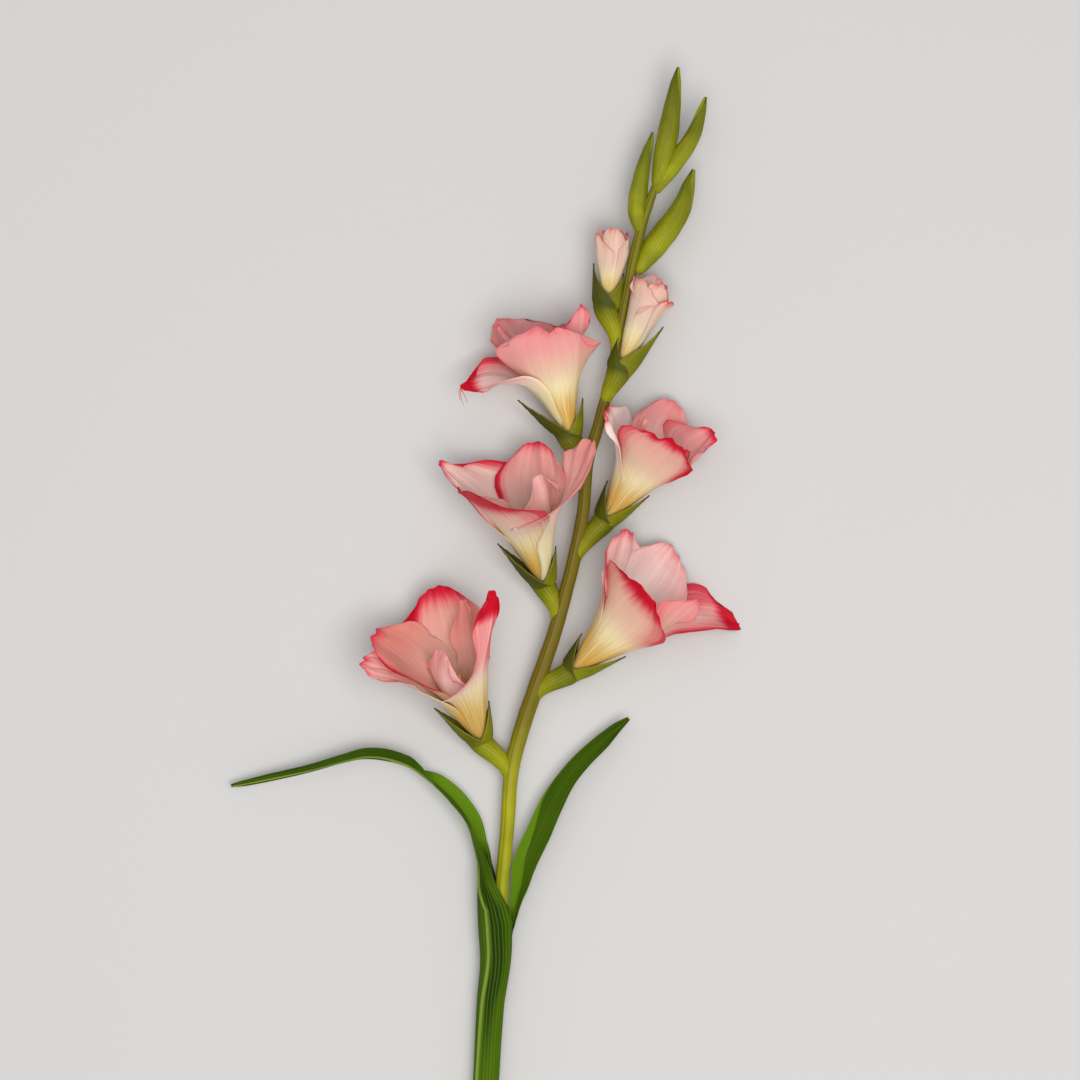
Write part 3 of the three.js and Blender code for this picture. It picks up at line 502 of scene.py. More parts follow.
# base is a flower's foot, axis its heading and tilt in degrees, stem where its branch parts
# from the stem along Y and bracts the tips of its two bracts. The outer petals come first.
FLORETS = [
    dict(base=(-3, -33, 16), axis=(110, 32), stem=-58, bracts=[(-31, -15, 36), (3, -11, 30)], petals=[
        dict(tip=(6, 61, 84), width=15, cup=0.9, lean=35, twist=35, outline=FOLDED_OUTLINE,
             wrap=(0.42, 0.6), fold=(-1, 0.5, 11),
             red=(0.5, 0.6, 1.8), depth=28, pale=0.35, fair=0.8),
        dict(tip=(-31, 63, 24), width=31, cup=0.3, skew=0.1,
             red=(0.2, 1.7, 1.0), depth=19, pale=0.3, painted_shade=0.6),
        dict(tip=(-79, 14, 58), width=16, twist=15, outline=BLUNT_OUTLINE, fold=(-1, 0.44, 12),
             red=(0.3, 0.2, 0.7), depth=8, pale=0.25, fair=0.6),
        dict(tip=(-27, 23, 57), width=24, cup=0.3, skew=-0.2, rounding=0.25, outline=LOBE_OUTLINE,
             red=(0, 0, 0.1), pale=0.2, fair=0.8, warm=0.3, painted_shade=0),
        dict(tip=(-12, 54, 52), width=15, cup=0.9,
             red=(0.1, 0.1, 0.2), depth=5, pale=0.1, painted_shade=0.55),
        dict(tip=(-72, 32, 52), width=31, cup=0.5, pleat=0.3, wrap=(0.4, 0.64),
             red=(0, 1.0, 0.7), depth=11, pale=0.1, painted_shade=0.65),
    ]),
    dict(base=(60, 11, 20), axis=(42, 20), stem=-6, bracts=[(64, 32, 28), (90, 20, 33)], petals=[
        dict(tip=(105, 60, 91), width=34, ruffle=1.5, phase=1, skew=-0.1,
             red=(0.4, 0.7, 1.15), depth=25, pale=0.4),
        dict(tip=(166, 39, -6), width=20, lean=-5, skew=0.25, outline=BLUNT_OUTLINE,
             red=(0.8, 0.7, 1.6), depth=23, pale=0.2),
        dict(tip=(93, 100, 34), width=29, cup=0.2,
             red=(0.3, 0.7, 0.7), depth=9, pale=0.3, painted_shade=0.05),
        dict(tip=(139, 54, 50), width=13, cup=0.7, twist=50, outline=BLUNT_OUTLINE, wrap=(0.1, 0.35),
             red=(0.4, 0.4, 0.6), depth=7, pale=0.1),
        dict(tip=(123, 88, 8), width=29, cup=0.4, ruffle=1.5,
             red=(0.3, 0.7, 0.5), depth=8, pale=0.35, painted_shade=0),
        dict(tip=(81, 80, 52), width=10, cup=0.6, twist=20, wrap=(0.1, 0.35),
             red=(0.3, 0.3, 0.4), depth=5, pale=0.3),
    ]),
    dict(base=(38, 69, 20), axis=(104, 30), stem=44, bracts=[(10, 91, 40), (46.5, 89, 33)], petals=[
        dict(tip=(71, 157, 47), width=29, lean=85, twist=-12, skew=0.1, hinge=0.48, rounding=0.2,
             wrap=(0.48, 0.6),
             red=(0.2, 0.3, 0.3), depth=6, pale=0.1, fair=1, warm=0.4, painted_shade=0.3),
        dict(tip=(-29, 144, 36), width=26, skew=-0.35, outline=POINTED_OUTLINE,
             red=(0.9, 0.7, 0.9), depth=8, pale=0.5),
        dict(tip=(-11, 124, 86), width=46, cup=0.4, skew=-0.05, slant=0.12,
             red=(0.9, 0.7, 1.7), depth=33, pale=0.4, fair=0.3),
        dict(tip=(34, 134, 66), width=28, cup=0.3, rounding=0.25, outline=LOBE_OUTLINE,
             red=(0, 0, 0.1), pale=0.35, fair=1, warm=0.5, painted_shade=0.1),
        dict(tip=(34, 157, 34), width=28, cup=0.6,
             red=(0.3, 1.0, 0.8), depth=9, pale=0.2, painted_shade=0.35),
        dict(tip=(0, 120, 50), width=14, cup=0.7,
             red=(0.1, 0.1, 0.2), depth=6, pale=0.6, painted_shade=0.3),
    ]),
    dict(base=(81, 110, 20), axis=(56, 18), stem=84, bracts=[(83, 130, 28), (107, 122, 31)], petals=[
        dict(tip=(123, 156, 80), width=29, cup=0.4, skew=-0.12,
             red=(0.7, 1.1, 1.1), depth=14, pale=0.3),
        dict(tip=(149, 163, 44), width=24, ruffle=4, twist=-35, skew=0.3,
             red=(0.5, 0.5, 0.9), depth=9, pale=0.1, painted_shade=0),
        dict(tip=(79, 177, 52), width=24, cup=0.2, twist=12, hinge=0.45, skew=-0.4,
             red=(0, 0.1, 0.8), depth=8, pale=0.75, fair=0.6, painted_shade=0),
        dict(tip=(132, 151, 46), width=13, cup=0.5, wrap=(0.1, 0.35),
             red=(0.5, 0.5, 0.8), depth=7),
        dict(tip=(122, 184, 12), width=25, roll=4, skew=-0.3,
             red=(0.3, 0.3, 0.4), depth=6, painted_shade=0.1),
        dict(tip=(105, 173, 56), width=15, cup=0.6,
             red=(0.3, 0.3, 0.3), depth=5, pale=0.3, painted_shade=0.1),
    ]),
    dict(base=(55, 164, 22), axis=(104, 6), stem=138, bracts=[(23, 184, 29), (64, 185, 26)], petals=[
        dict(tip=(42, 231, 60), width=36, ruffle=1, notch=5, skew=-0.05, slant=-0.12, rounding=0.22,
             outline=BLUNT_OUTLINE,
             red=(0.2, 0.2, 0.45), depth=9, pale=0.05),
        dict(tip=(40, 233, -18), width=24, cup=0.4, red=(0.6, 0.6, 0.8), depth=6),
        dict(tip=(-15, 192, 28), width=27, twist=40, hinge=0.3, outline=POINTED_OUTLINE,
             red=(0.8, 0.3, 1.5), depth=17, pale=0.4, fair=1, warm=0.5, painted_shade=0.1),
        dict(tip=(64, 245, 34), width=9, cup=0.9, twist=45, wrap=(0.1, 0.35),
             red=(0.6, 0.6, 0.7), depth=5),
        dict(tip=(11, 237, -4), width=26, red=(0.4, 0.4, 0.5), depth=6, pale=0.1),
        dict(tip=(8, 232, 34), width=22, red=(0.4, 0.4, 0.5), depth=6, pale=0.1),
    ]),
]


class Axis:
    """The frame of a flower: its foot, axis, the side that faces up and the side to its right."""

    def __init__(self, base, heading, tilt):
        heading, tilt = math.radians(heading), math.radians(tilt)
        self.base = Vector(base)
        level = math.cos(tilt)
        self.axis = Vector((level * math.cos(heading), level * math.sin(heading), math.sin(tilt)))
        self.up = (Vector((0, 0, 1)) - self.axis * self.axis.z).normalized()
        self.right = self.axis.cross(self.up)

    def at(self, h, angle, r):
        """A point at height h, turned by angle from the up side, r out from the axis."""
        return self.base + self.axis * h + self.up * r * math.cos(angle) + self.right * r * math.sin(angle)

    def reading(self, point):
        """Height, angle and distance from the axis of a point."""
        reach = Vector(point) - self.base
        x, y = reach.dot(self.up), reach.dot(self.right)
        return reach.dot(self.axis), math.atan2(y, x), math.hypot(x, y)


class Midline:
    """Midline of a petal that starts at the funnel's slope and flares past the hinge."""

    STEPS = 100

    def __init__(self, funnel, flare, hinge):
        self.funnel, self.flare, self.hinge = funnel, flare, hinge
        self.heights, self.radii = [0], [0]
        for k in range(self.STEPS):
            angle = self.angle((k + 0.5) / self.STEPS)
            self.heights.append(self.heights[-1] + math.cos(angle) / self.STEPS)
            self.radii.append(self.radii[-1] + math.sin(angle) / self.STEPS)

    def angle(self, u):
        """Slope of the midline away from the flower's axis."""
        return math.radians(self.funnel + (self.flare - self.funnel) * ease(u, self.hinge - 0.15, 1))

    def at(self, u):
        """Height and distance from the axis, in parts of the petal's length."""
        k = min(int(u * self.STEPS), self.STEPS - 1)
        t = u * self.STEPS - k
        return tuple(row[k] + (row[k + 1] - row[k]) * t for row in (self.heights, self.radii))


def aimed(funnel, hinge, out, height):
    """The midline that leads from a petal's foot to a point out and up from it."""
    low, high = FLARE_RANGE
    while high - low > 1e-4:
        flare = (low + high) / 2
        line = Midline(funnel, flare, hinge)
        if math.atan2(line.radii[-1], line.heights[-1]) < math.atan2(out, height):
            low = flare
        else:
            high = flare
    return line


def pressed(point, floor):
    """What would sink into the table lies flat on it instead."""
    height = point.z - floor
    soft = height if height > CUSHION else CUSHION * math.exp(height / CUSHION - 1)
    point.z = floor + PETAL_THICKNESS / 2 + max(soft - SETTLE, 0)
    return point


def petal(
    name, flower, foot, seed, tip, width, cup=0.5, roll=0, lean=0, ruffle=2, phase=0, twist=0,
    outline=PETAL_OUTLINE, funnel=FUNNEL, hinge=0.36, rounding=0.13, floor=0, furl=0, crimp=1, pleat=1,
    skew=0, slant=0, notch=0, wrap=(0.28, 0.58), fold=(1, 0.5, 0), red=(0.5, 0.5, 0.5), depth=7, pale=0,
    fair=0, warm=1, painted_shade=0.2,
):
    """One petal aimed at its tip, with its colours' weights stored at its points.

    width is its half width. cup curls its rims inwards and roll outwards, lean turns its tip
    round the flower's axis and twist its face. ruffle, crimp and pleat are the heights of its
    waves. It flares from its hinge on, leaves the tube's wall along wrap, and furl keeps it
    closed. rounding, skew, slant and notch shape its outline, and fold adds a lobe, by its
    side, place and size. red is the crimson of its two rims and its tip, which reaches depth
    inwards. pale lessens its pink, fair lightens its outer face and warm is the ochre of the
    tube. dusk is painted salmon shade on the inner face, and on the outer one as fair allows.
    """
    height, side, reach = flower.reading(tip)
    side -= math.radians(lean)
    out = reach - foot
    line = aimed(funnel, hinge, out, height)
    length = math.hypot(height, out) / math.hypot(line.heights[-1], line.radii[-1])

    def place(s, across_share):
        v = 2 * across_share - 1
        u = s * (1 - rounding * abs(v) ** 2.2 * s**3)
        u *= 1 + slant * v * s * s + FRILL * s**4 * noise.noise(Vector((v * 3, seed, 0)))
        u -= notch / length * s**8 * math.exp(-((v / NOTCH_WIDTH) ** 2))
        h, r = (length * x for x in line.at(u))
        r += foot
        angle = line.angle(u)
        opened = ease(s, hinge - 0.1, 0.95) * (1 - furl)
        bend = (1 - opened) / max(r, 3) + opened * cup / width
        half = width * (1 + skew * v) * read(outline, s)
        half += max(WRAP * r - half, 0) * (1 - ease(s, *wrap))
        arc = bend * v * half
        turn = side + math.radians(lean) * ease(u, 0.4, 1)
        outward = flower.up * math.cos(turn) + flower.right * math.sin(turn)
        across = flower.right * math.cos(turn) - flower.up * math.sin(turn)
        normal = outward * math.cos(angle) - flower.axis * math.sin(angle)
        swing = math.radians(twist) * ease(s, 0.4, 1)
        sideways = math.sin(arc) / bend
        rolled = roll * ease(abs(v), 0.45, 1) ** 1.5 * ease(s, 0.3, 0.8)
        lobe = fold[2] * math.exp(-(((s - fold[1]) / LOBE_LENGTH) ** 2)) * max(v * fold[0], 0) ** 2
        lift = sideways * math.sin(swing) + waves(s, v) + rolled - (1 - math.cos(arc)) / bend
        point = flower.base + flower.axis * h + outward * (r + LAP * v * ease(s, 0, 0.2))
        point += across * (sideways * math.cos(swing) + fold[0] * lobe) + normal * (lift + 0.6 * lobe)
        return pressed(point, floor)

    def waves(s, v):
        """Height of the petal's waves: ruffles at its rims and tip, fine crimps, broad pleats."""
        turned = 4 * math.pi * s + phase + (1.9 if v > 0 else 0)
        ruffles = ease(s, 0.35, 0.9) * abs(v) ** 1.6 * math.sin(turned)
        ruffles += 0.35 * ease(s, 0.6, 1) * math.sin(3 * math.pi * v + phase * 1.7)
        rim = max(abs(v) ** 5, ease(s, 0.8, 1)) * ease(s, 0.3, 0.6)
        crimps = rim * noise.noise(Vector((s * 11, v * 5, seed)))
        crimps += 0.3 * ease(s, 0.05, 0.3) * noise.noise(Vector((v * 9, s * 1.5, seed + 7)))
        pleats = 2 * ease(s, 0.3, 0.75) * noise.noise(Vector((v * 2.4, s * 0.8, seed + 3)))
        return ruffle * ruffles + crimp * crimps + pleat * pleats

    def crimson(s, v):
        """Strength of the crimson, from the distances to the two rims and the tip."""
        half = width * read(outline, s)
        edges = ((1 + v) * half, (1 - v) * half, (1 - s) * length + 2 * abs(v))
        near = [strength * max(1 - edge / depth, 0) for strength, edge in zip(red, edges)]
        return ease(s, 0.35, 0.62) * max(near)

    piece = grid(name, PETAL_ROWS, PETAL_COLUMNS, place)
    points = spots(PETAL_ROWS, PETAL_COLUMNS)
    paint(piece, "blaze", [crimson(s, v) for s, v in points])
    paint(piece, "flush", [ease(s + 0.1 * abs(v), 0.36, 1) * (1 - pale) for s, v in points])
    paint(piece, "rise", [ease(s + 0.08 * abs(v), 0.25, 0.7) for s, v in points])
    paint(piece, "warm", [warm * (1 - ease(s - 0.06 * abs(v), 0.1, 0.62)) for s, v in points])
    paint(piece, "painted_shade", [painted_shade * ease(s, 0.2, 0.5) for s, v in points])
    thicken(piece, PETAL_THICKNESS)
    paint(piece, "inside", [fair] * len(points) + [1] * len(points))
    return piece


def gather(pieces, name):
    """Joins pieces into one."""
    bpy.ops.object.select_all(action="DESELECT")
    for piece in pieces:
        piece.select_set(True)
    bpy.context.view_layer.objects.active = pieces[0]
    if len(pieces) > 1:
        bpy.ops.object.join()
    pieces[0].name = pieces[0].data.name = name
    return pieces[0]


# Petal: thin and satin, with fine veins that fan out from its foot.
flesh = new_skin("petal_flesh")
wrap = flesh.node("TexCoord", output="UV")
place = flesh.node("TexCoord", output="Object")
blaze, flush, rise, warm, painted_shade, inside = (
    flesh.weight(key) for key in ("blaze", "flush", "rise", "warm", "painted_shade", "inside")
)
streaks = wrap.stretched(30, 1.6, 1).fog(1, detail=4, roughness=0.6)
threads = wrap.stretched(90, 2.5, 1).fog(1, detail=2)
ridges = wrap.stretched(46, 1.1, 1).fog(1, detail=3, roughness=0.55, distortion=0.6)
patches = place.fog(60, detail=3)
light = inside.blend((232, 190, 164), (252, 220, 212))
grain = streaks - 0.5
base = (rise + grain * 0.4 * rise.step(0, 0.3)).step(0.05, 1.0).blend((250, 230, 184), light)
pink = flush + grain * 0.5 * flush.step(0, 0.3) + (patches - 0.5) * 0.3
base = pink.step(0.1, 1.05).blend(base, (232, 146, 148))
base = (warm + grain * 0.9).step(0.1, 1.15).blend(base, (208, 150, 42))
base = (ridges.step(0.5, 0.68) * warm.step(0.05, 0.4) * 0.65).blend(base, (250, 228, 172))
# Painted shade: salmon over the inner faces deep in the flower, and over the outer ones by fair.
base = (inside * painted_shade + grain * 0.3 * painted_shade).blend(base, (206, 126, 104))
base = (blaze + grain * 0.6 * blaze.step(0, 0.3)).step(0.0, 0.9).blend(base, (216, 40, 78))
base = (blaze + grain * 0.4).step(0.4, 1.0).blend(base, (190, 4, 32))
base = (threads.step(0.55, 0.8) * 0.12).blend(base, (176, 90, 80))
relief = streaks * 0.8 + threads * 0.4 + patches * 0.3 + ridges * warm * 1.5
dress(
    flesh, base, 0.5 + streaks * 0.12, bump=relief, strength=0.45, depth=0.25, Subsurface_Weight=0.5,
    Subsurface_Scale=0.002, Subsurface_Radius=(1.0, 0.6, 0.5), Specular_IOR_Level=0.12,
)

# The left petal of the top flower is frayed: a few short crimson threads hang from its tip.
FRAYS = [
    [(-14, 193, 28), (-15, 187, 27), (-13, 180, 25)],
    [(-15, 192, 28), (-12.5, 187, 27), (-10.5, 182, 26)],
    [(-15, 192, 28), (-16, 189, 28), (-15.5, 184, 27)],
]
FRAY_CRIMSON = 0.8


def fray(name, line):
    """A thread that tapers to its end."""
    piece = tube(name, line, lambda s, u: 0.32 - 0.2 * s, rows=12, columns=6)
    paint(piece, "blaze", [FRAY_CRIMSON] * len(piece.data.vertices))
    return piece


for number, spec in enumerate(FLORETS, 1):
    flower = Axis(spec["base"], *spec["axis"])
    petals = []
    for k, options in enumerate(spec["petals"]):
        foot, floor = (TUBE_RADIUS + LAYER, 0) if k < 3 else (TUBE_RADIUS - LAYER, INNER_FLOOR)
        seed = 10 * number + k
        petals.append(petal(f"petal_{number}_{k}", flower, foot, seed, floor=floor, **options))
    if number == len(FLORETS):
        petals += [fray(f"fray_{k}", line) for k, line in enumerate(FRAYS)]
    finish(gather(petals, f"petals_{number}"), f"floret_{number}", "petal_flesh")


# ---- Stamens and style ----
# Three stamens with long anthers and a longer style with three lobes stand deep in each
# open flower, on a small disc. They are cream, the anthers ochre.

# Heights are along the flower's axis from its foot, turns in degrees from its upper side.
# A stamen has its turn and the height of its filament's top, a lobe of the style its turn.
DISC_FOOT = 9.4
DISC_HEIGHT = 1.2
DISC_RADIUS = 2
STAMENS = [(-110, 30), (180, 32), (110, 34)]
LOBES = (30, 150, 270)
ANTHER = [(0, 0.5), (0.12, 0.9), (0.5, 1), (0.88, 0.9), (1, 0.4)]
ANTHER_RADIUS = 1.25

pollen = new_skin("stamen_flesh")
grains = pollen.node("TexCoord", output="Object").fog(900, detail=2)
ochre = pollen.weight("anther")
base = ochre.blend((246, 226, 178), (196, 140, 60))
base = (grains.step(0.5, 0.8) * 0.35 * ochre).blend(base, (120, 70, 30))
dress(
    pollen, base, 0.6, bump=grains, strength=0.4, depth=0.15, Subsurface_Weight=0.2,
    Subsurface_Scale=0.001,
)


def stamen_part(name, line, radius_at, rows, columns, anther=0):
    """A part of a stamen or style; anther is how ochre it is."""
    piece = tube(name, line, radius_at, rows, columns)
    paint(piece, "anther", [anther] * len(piece.data.vertices))
    return piece


def anther_radius(s, u):
    """Radius of an anther, with a groove along two sides."""
    return ANTHER_RADIUS * read(ANTHER, s) * (1 - 0.3 * abs(math.cos(2 * math.pi * u)) ** 6)


for number, spec in enumerate(FLORETS, 1):
    flower = Axis(spec["base"], *spec["axis"])

    def on(h, around, out):
        """A point at a height, turn and distance from the flower's axis."""
        return flower.at(h, math.radians(around), out)

    line = [on(DISC_FOOT + rise * DISC_HEIGHT, 0, 0) for rise in (0, 0.5, 1)]
    parts = [stamen_part("disc", line, lambda s, u: DISC_RADIUS, 3, 20)]
    for around, top in STAMENS:
        line = [on(DISC_FOOT, around, 1), on(20, around, 3.2), on(top, around, 4.6)]
        parts.append(stamen_part("filament", line, lambda s, u: 0.75 - 0.35 * s, 16, 10))
        line = [on(top - 3, around, 4.4), on(top + 3, around, 4.9), on(top + 8, around, 5.3)]
        parts.append(stamen_part("anther", line, anther_radius, 18, 20, anther=1))
    line = [on(DISC_FOOT, 0, 0.4), on(24, 37, 1), on(42, 90, 1)]
    parts.append(stamen_part("style", line, lambda s, u: 0.7 - 0.2 * s, 20, 10))
    for around in LOBES:
        line = [on(41, 90, 1), on(44.5, around, 1.6), on(47.5, around, 2.2)]
        parts.append(stamen_part("stigma", line, lambda s, u: 0.35 + 0.55 * s, 10, 10, anther=0.15))
    finish(gather(parts, f"pistil_{number}"), f"stamens_{number}", "stamen_flesh")


# ---- Half-open flowers ----
# Two smaller flowers whose petals are still furled round each other, cream and blushing
# at the lips, with one lip that turns out.
OUTER_FOOT = 3.4
INNER_FOOT = 2.2

# What their petals have in common. The flowers' own keys are as in the open flowers.
FURLED = dict(
    hinge=0.6, furl=0.9, ruffle=0.6, crimp=0.5, red=(0.25, 0.25, 0.5), depth=5, pale=0.6, fair=0.2,
    warm=0.8,
)
HALF_BUDS = [
    dict(base=(80, 248, 26.5), axis=(84, 8), stem=222, bracts=[(72, 272, 31), (88, 266, 30)], petals=[
        dict(tip=(73, 291, 36), width=15, funnel=13),
        dict(tip=(93, 292, 30), width=15, funnel=13, red=(0.3, 0.5, 0.8)),
        dict(tip=(83, 292, 22), width=15, funnel=13),
        dict(tip=(84, 295, 40), width=14, funnel=13),
        dict(tip=(76, 294, 27), width=14, funnel=13),
        dict(tip=(88, 294, 26), width=14, funnel=13),
    ]),
    dict(base=(89.5, 206, 26.5), axis=(68, 8), stem=186, bracts=[(90, 225, 29), (116, 231, 33)], petals=[
        dict(tip=(102, 262, 45), width=19, funnel=11),
        dict(tip=(122, 247, 38), width=18, funnel=11, furl=0.6, red=(0.3, 0.3, 0.7), depth=7),
        dict(tip=(112, 264, 22), width=19, funnel=11),
        dict(tip=(114, 258, 46), width=16, funnel=11),
        dict(tip=(98, 264, 30), width=16, funnel=11),
        dict(tip=(118, 258, 28), width=16, funnel=11),
    ]),
]

for number, spec in enumerate(HALF_BUDS, 1):
    flower = Axis(spec["base"], *spec["axis"])
    petals = []
    for k, options in enumerate(spec["petals"]):
        foot = OUTER_FOOT if k < 3 else INNER_FOOT
        seed = 200 + 10 * number + k
        petals.append(petal(f"furled_{number}_{k}", flower, foot, seed, **{**FURLED, **options}))
    finish(gather(petals, f"furled_{number}"), f"half_bud_{number}", "petal_flesh")


# ---- Green flower cups ----
# Below every flower a short branch leaves the stem and opens into two pointed bracts, the
# outer one over the inner one. They are leaf-like, with dry brown tips.
BRANCH_RISE = 16
THROAT_DEPTH = 6
THROAT_RADIUS = 5.6
FURLED_SLOPE = 9
CUP_STEPS = 200
CUP_ROWS = 70
CUP_COLUMNS = 28
BRACT_THICKNESS = 0.7
BRACT_FLATNESS = 0.72
OUTER_LAP = 0.8

# Radius of a cup along its line, in parts of its girth. Its bract's tip ends the table.
GIRTH = 8.6
CUP_SWELL = [(0, 0.15), (0.15, 0.33), (0.3, 0.54), (0.5, 0.8), (0.75, 1.05)]

# Half the angle in radians that a bract spans, from its foot to its point.
OPEN_SPREAD = [(0, 2.9), (0.43, 2.7), (0.6, 2.1), (0.716, 1.55), (0.85, 0.85), (0.95, 0.3), (1, 0.03)]
FURLED_SPREAD = [(0, 2.9), (0.43, 2.7), (0.716, 2.1), (0.8, 1.6), (0.88, 0.85), (0.95, 0.35), (1, 0.03)]


def stem_point(y):
    """Point of the stem's centre line at a given place along Y."""
    x, z = (read([(at[1], at[axis]) for at, _ in STEM], y) for axis in (0, 2))
    return Vector((x, y, z))


def valve(name, line, share, facing, swell, spread, thickness, flat=1, shade=0):
    """A pointed sheet wrapped round a line from the given share of it to its end.

    facing is its middle's side, swell its radius along the line and spread half its angle.
    flat is how thick it is for its width towards its end, shade how dark its green is.
    """
    centres = smooth_line(line, CUP_STEPS)

    def place(s, u):
        t = share + (1 - share) * s
        i = round(t * CUP_STEPS)
        along = direction(centres, i)
        side = squared(facing, along)
        other = along.cross(side)
        angle = (1 - 2 * u) * read(spread, s)
        ribs = 0.12 * math.cos(9 * math.pi * u)
        thin = 1 - (1 - flat) * ease(t, 0.3, 0.7)
        out = side * math.cos(angle) + other * math.sin(angle) * thin
        return centres[i] + out * (read(swell, t) + ribs)

    piece = grid(name, CUP_ROWS, CUP_COLUMNS, place)
    points = spots(CUP_ROWS, CUP_COLUMNS)
    paint(piece, "tip", [s for s, _ in points])
    paint(piece, "rim", [abs(v) for _, v in points])
    paint(piece, "shade", [shade] * len(points))
    thicken(piece, thickness)
    return piece


# Bract: yellow-green with fine dark veins, darker towards its dry brown tip.
green = new_skin("bract_skin")
place = green.node("TexCoord", output="Object")
wrap = green.node("TexCoord", output="UV")
tip, rim, shade = green.weight("tip"), green.weight("rim"), green.weight("shade")
streaks = wrap.stretched(26, 1.5, 1).fog(1, detail=4, roughness=0.6)
patches = place.fog(55, detail=3)
veins = green.maths("SINE", wrap.part("X") * 110 + streaks * 5) * 0.5 + 0.5
base = patches.step(0.3, 0.7).blend((118, 122, 2), (152, 154, 8))
base = (streaks.step(0.3, 0.8) * 0.5).blend(base, (162, 162, 26))
base = (tip.step(0.3, 0.85) * 0.4).blend(base, (58, 66, 2))
base = (shade * tip.step(0.15, 0.7) * 0.8).blend(base, (52, 56, 2))
base = (veins.step(0.6, 1) * 0.3).blend(base, (56, 62, 10))
base = (tip + (streaks - 0.5) * 0.1).step(0.93, 1.0).blend(base, (52, 36, 18))
base = (rim.step(0.93, 1.0) * 0.4).blend(base, (150, 140, 70))
dress(
    green, base, 0.5 + streaks * 0.2, bump=veins * 0.4 + streaks, strength=0.5, depth=0.25,
    Specular_IOR_Level=0.2,
)

for number, spec in enumerate(FLORETS + HALF_BUDS, 1):
    flower = Axis(spec["base"], *spec["axis"])
    throat = flower.base - flower.axis * THROAT_DEPTH
    root = stem_point(spec["stem"] - BRANCH_RISE)
    fork = stem_point(spec["stem"]).lerp(throat, 0.18)
    line = [root, fork, throat, flower.base]
    parts = [tube(f"branch_{number}", line, lambda s, u: GIRTH * (0.12 + 0.42 * s), 40, 24)]
    slope, spread = (FUNNEL, OPEN_SPREAD) if number <= len(FLORETS) else (FURLED_SLOPE, FURLED_SPREAD)
    for k, target in enumerate(spec["bracts"]):
        height, side, reach = flower.reading(target)
        line = [root, fork, throat, flower.base, flower.base + flower.axis * height]
        facing = flower.up * math.cos(side) + flower.right * math.sin(side)
        reach = max(reach, THROAT_RADIUS + height * math.tan(math.radians(slope)))
        swell = [(t, r * GIRTH) for t, r in CUP_SWELL] + [(1, reach)]
        if k == 0:
            swell = [(t, r + OUTER_LAP * ease(t, 0.1, 0.4)) for t, r in swell]
        # The outer bracts darken towards their tips, the lowest flower's less than the others.
        dark = (1 - k) * (0.4 if number == 1 else 1)
        parts.append(valve(
            f"bract_{number}_{k}", line, 0.06, facing, swell, spread, BRACT_THICKNESS,
            flat=BRACT_FLATNESS, shade=dark,
        ))
    finish(gather(parts, f"cup_{number}"), f"calyx_{number}", "bract_skin")


# ---- Closed buds ----
# Four green buds at the tip of the spike, each of two boat-shaped bracts, the outer one
# lapped over the inner one.

# A bud's spine from its foot to its tip, its radius and the side of its outer bract.
BUDS = [
    dict(
        spine=[(99, 266, 27), (111, 284, 26), (127, 306, 25), (136, 333, 25)], radius=7.6,
        facing=(-0.8, 0.4, 1), shade=0,
    ),
    dict(
        spine=[(101, 292, 28), (99, 306, 28), (102, 328, 28), (109.5, 357, 28)], radius=5.5,
        facing=(-0.6, 0, 1), shade=0.2,
    ),
    dict(
        spine=[(111, 318, 29), (122, 335, 28), (135, 355, 27), (143.5, 380, 26)], radius=5.4,
        facing=(0.8, -0.4, 1), shade=0.2,
    ),
    dict(
        spine=[(111, 322, 29), (117, 345, 30), (122, 372, 30), (126, 399, 30)], radius=6.3,
        facing=(-0.8, 0, 1), shade=0.5,
    ),
]
SPINDLE = [(0, 0.34), (0.12, 0.62), (0.3, 0.95), (0.5, 1), (0.7, 0.84), (0.88, 0.5), (1, 0.14)]
BUD_SPREAD = [(0, 2.8), (0.5, 2.0), (0.8, 1.4), (0.95, 0.6), (1, 0.1)]
VALVE_GAP = 0.25
VALVE_THICKNESS = 0.5

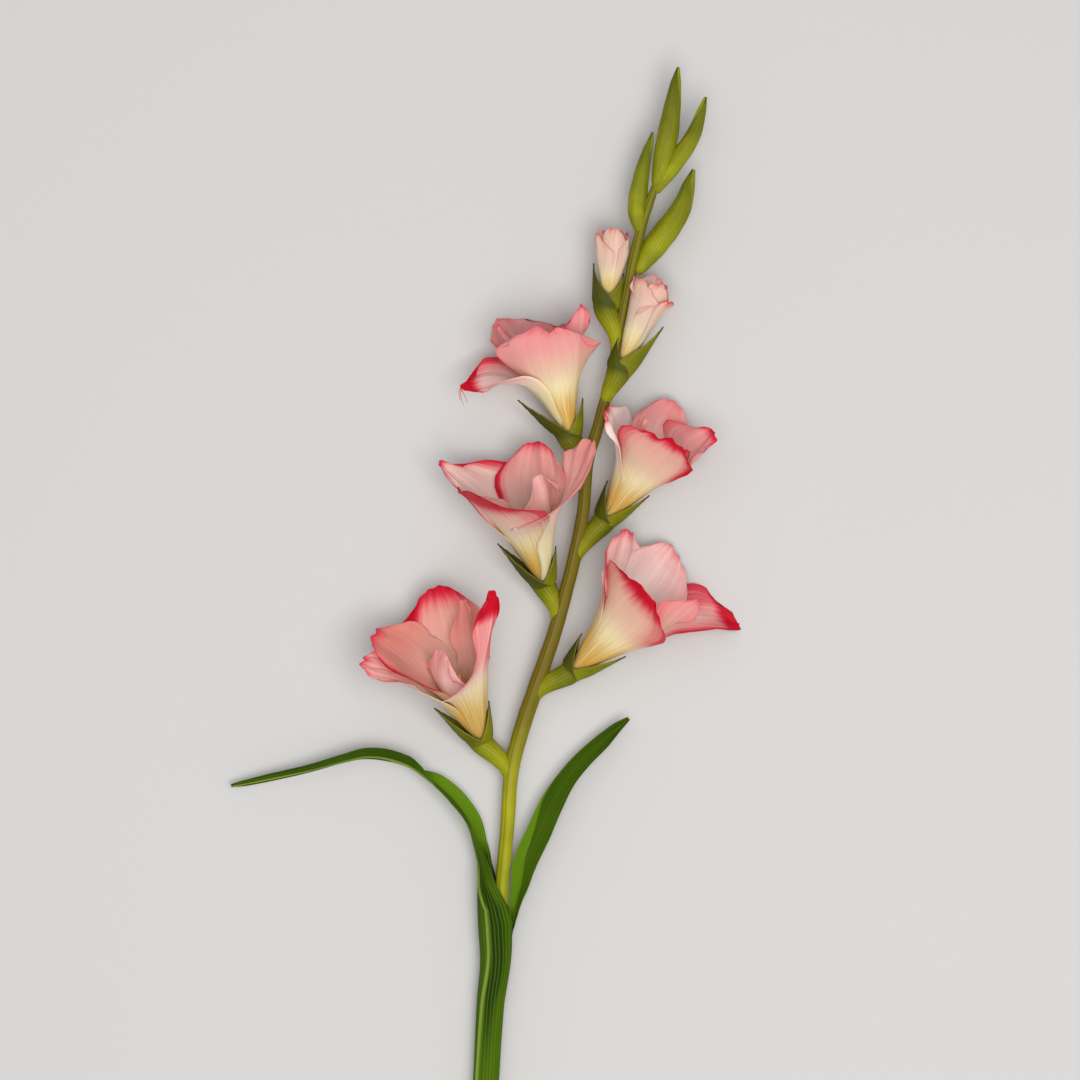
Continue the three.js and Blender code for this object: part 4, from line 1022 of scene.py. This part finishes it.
for number, bud in enumerate(BUDS, 1):
    spindle = [(t, bud["radius"] * r) for t, r in SPINDLE]
    core = tube(f"bud_{number}_core", bud["spine"], lambda s, u: read(spindle, s), 60, 32)
    outer = valve(
        f"bud_{number}_valve", bud["spine"], 0.02, Vector(bud["facing"]),
        [(t, r + VALVE_GAP) for t, r in spindle], BUD_SPREAD, VALVE_THICKNESS, shade=bud["shade"],
    )
    finish(gather([core, outer], f"closed_bud_{number}"), f"bud_{number}", "bract_skin")


# ---- Table, light and camera ----
# A pale table under soft daylight from the lower right; the camera looks straight down.

# Metres from here on. CENTRE is the middle of the photo's frame, and the table lies a hair
# below the petals that touch it.
CENTRE = (0.0364, 0.0933, 0.02)
TABLE_WIDTH = 12
TABLE_DROP = 0.0005
bpy.ops.mesh.primitive_plane_add(size=TABLE_WIDTH, location=(0, 0, -TABLE_DROP))
table = bpy.context.object
table.name = "table"
dress(new_skin("pale_table"), tint((201, 200, 199)), 0.9)
table.data.materials.append(bpy.data.materials["pale_table"])


def lamp(name, place, size, power, colour):
    """A square soft light that looks at the middle of the frame."""
    bpy.ops.object.light_add(type="AREA", location=place)
    light = bpy.context.object
    light.name = name
    light.data.size = size
    light.data.energy = power
    light.data.color = colour
    light.rotation_euler = (Vector(CENTRE) - Vector(place)).to_track_quat("-Z", "Y").to_euler()


lamp("window", place=(0.45, -0.4, 2.9), size=1.9, power=70, colour=(1, 0.98, 0.95))
lamp("sky", place=(-0.5, 0.6, 2.8), size=2.6, power=18, colour=(0.95, 0.97, 1))
world = bpy.data.worlds.new("room")
world.use_nodes = True
world.node_tree.nodes["Background"].inputs["Color"].default_value = (0.97, 0.98, 1, 1)
world.node_tree.nodes["Background"].inputs["Strength"].default_value = 0.36
bpy.context.scene.world = world
bpy.context.scene.view_settings.view_transform = "Standard"

CAMERA_HEIGHT = 6.0
FRAME_WIDTH = 0.702
bpy.ops.object.camera_add(location=(CENTRE[0], CENTRE[1], CAMERA_HEIGHT), rotation=(0, 0, 0))
camera = bpy.context.object
camera.data.sensor_width = 36
camera.data.lens = camera.data.sensor_width * CAMERA_HEIGHT / FRAME_WIDTH
camera.data.clip_end = 20
bpy.context.scene.camera = camera
